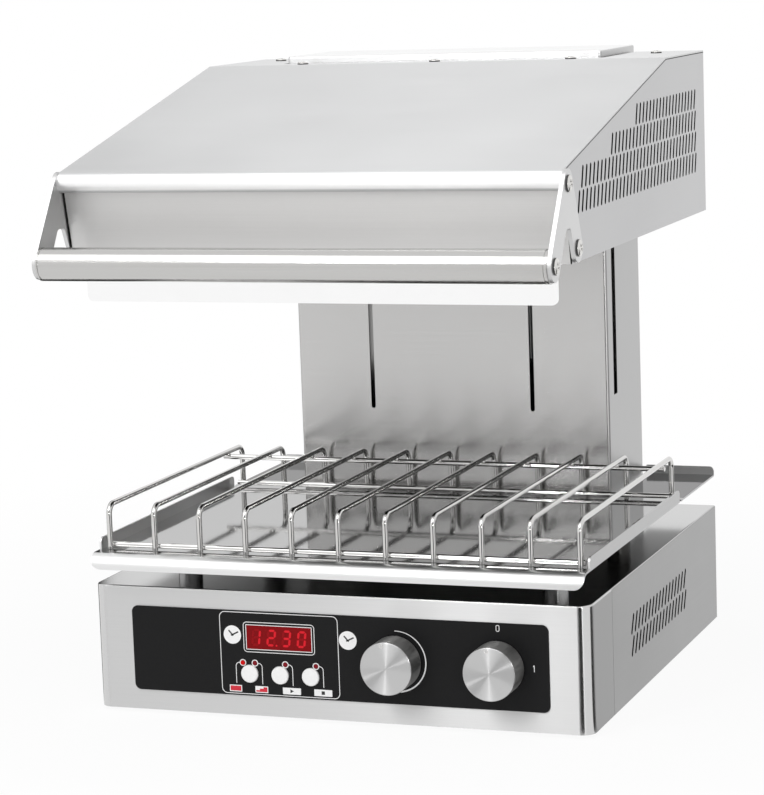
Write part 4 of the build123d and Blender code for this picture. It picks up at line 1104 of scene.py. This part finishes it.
def stage_floor():
    """A white floor: white to the camera, and lit as any surface where the object shades it."""
    bpy.ops.mesh.primitive_circle_add(vertices=FLOOR_STEPS, radius=FLOOR_RADIUS, fill_type="NGON")
    floor = bpy.context.object
    floor.name = "studio_floor"
    material, nodes, links, shader = clear_material("floor_white")
    shader.inputs["Base Color"].default_value = FLOOR_COLOUR
    shader.inputs["Roughness"].default_value = FLOOR_ROUGHNESS
    shader.inputs["Specular IOR Level"].default_value = 0.0
    glow = nodes.new("ShaderNodeEmission")
    glow.inputs["Color"].default_value = WHITE
    mix = nodes.new("ShaderNodeMixShader")
    place = nodes.new("ShaderNodeTexCoord")
    reach = nodes.new("ShaderNodeVectorMath")
    reach.operation = "LENGTH"
    links.new(place.outputs["Object"], reach.inputs[0])
    white = ranged(nodes, links, reach.outputs["Value"], FLOOR_WHITE_NEAR, 1.0, FLOOR_NEAR, FLOOR_FAR)
    share = calculated(nodes, links, "MULTIPLY", seen_directly(nodes, links), white)
    links.new(share, mix.inputs["Fac"])
    links.new(shader.outputs["BSDF"], mix.inputs[1])
    links.new(glow.outputs["Emission"], mix.inputs[2])
    links.new(mix.outputs["Shader"], nodes["Material Output"].inputs["Surface"])
    floor.data.materials.append(material)


def stage_world():
    """White where it is seen, and a dimmer light on the object."""
    world = bpy.data.worlds.new("studio_world")
    bpy.context.scene.world = world
    world.use_nodes = True
    nodes, links = world.node_tree.nodes, world.node_tree.links
    light = nodes["Background"]
    light.inputs["Color"].default_value = WHITE
    light.inputs["Strength"].default_value = AMBIENT
    backdrop = nodes.new("ShaderNodeBackground")
    backdrop.inputs["Color"].default_value = WHITE
    backdrop.inputs["Strength"].default_value = 1.0
    mix = nodes.new("ShaderNodeMixShader")
    links.new(seen_directly(nodes, links), mix.inputs["Fac"])
    links.new(light.outputs["Background"], mix.inputs[1])
    links.new(backdrop.outputs["Background"], mix.inputs[2])
    links.new(mix.outputs["Shader"], nodes["World Output"].inputs["Surface"])


def stage_lamp(name, place, aim, width, height, power):
    """A soft rectangular lamp that shines at a point."""
    light = bpy.data.lights.new(name, "AREA")
    light.shape = "RECTANGLE"
    light.size, light.size_y = width, height
    light.energy = power
    lamp = bpy.data.objects.new(name, light)
    lamp.location = place
    lamp.rotation_euler = (Vector(aim) - Vector(place)).to_track_quat("-Z", "Y").to_euler()
    bpy.context.scene.collection.objects.link(lamp)


def stage_screen(name, middle, start, stop, tone, profile):
    """A dark screen on the table and behind it, which only reflections see: a (radius, height) line swept
    about an (x, y) middle from one angle to another. Angles run from the front to the right."""
    shape = bmesh.new()
    steps = SCREEN_STEPS
    turns = [math.radians(start + (stop - start) * step / steps) for step in range(steps + 1)]
    x, y = middle
    rows = [[shape.verts.new((x + r * math.sin(t), y - r * math.cos(t), z)) for r, z in profile]
            for t in turns]
    for a, b in zip(rows, rows[1:]):
        for i in range(len(profile) - 1):
            shape.faces.new((a[i], a[i + 1], b[i + 1], b[i]))
    mesh = finished(name, shape)
    screen = bpy.data.objects.new(name, mesh)
    material, nodes, links, _ = clear_material(name)
    glow = nodes.new("ShaderNodeEmission")
    glow.inputs["Color"].default_value = (tone, tone, tone, 1)
    links.new(glow.outputs["Emission"], nodes["Material Output"].inputs["Surface"])
    mesh.materials.append(material)
    screen.visible_camera = False
    screen.visible_diffuse = False
    screen.visible_shadow = False
    bpy.context.scene.collection.objects.link(screen)


def stage_camera():
    """The photograph's own camera."""
    ahead = Vector((-math.sin(YAW) * math.cos(PITCH), math.cos(YAW) * math.cos(PITCH), -math.sin(PITCH)))
    right = Vector((math.cos(YAW), math.sin(YAW), 0))
    down = ahead.cross(right)
    turned_right = right * math.cos(ROLL) - down * math.sin(ROLL)
    turned_down = right * math.sin(ROLL) + down * math.cos(ROLL)
    lens = bpy.data.cameras.new("photo_camera")
    lens.sensor_width = SENSOR
    lens.lens = FOCAL_PIXELS * SENSOR / PHOTO_HEIGHT
    camera = bpy.data.objects.new("photo_camera", lens)
    axes = Matrix((turned_right, -turned_down, -ahead)).transposed()
    camera.matrix_world = Matrix.Translation(EYE) @ axes.to_4x4()
    bpy.context.scene.collection.objects.link(camera)
    bpy.context.scene.camera = camera


dress_nodes()
print_white()
print_black()
print_red()
digits()
first_light()
screws()
welds()
ropes()
hood_seams()
knob_index("heat_index", "heat_knob", HEAT_INDEX_ANGLE, "heat_dial")
knob_index("power_index", "power_knob", POWER_INDEX_ANGLE, "power_dial")
stage_floor()
stage_world()
for lamp in LAMPS:
    stage_lamp(*lamp)
for screen in SCREENS:
    stage_screen(*screen)
stage_camera()
bpy.context.scene.view_settings.view_transform = "Standard"
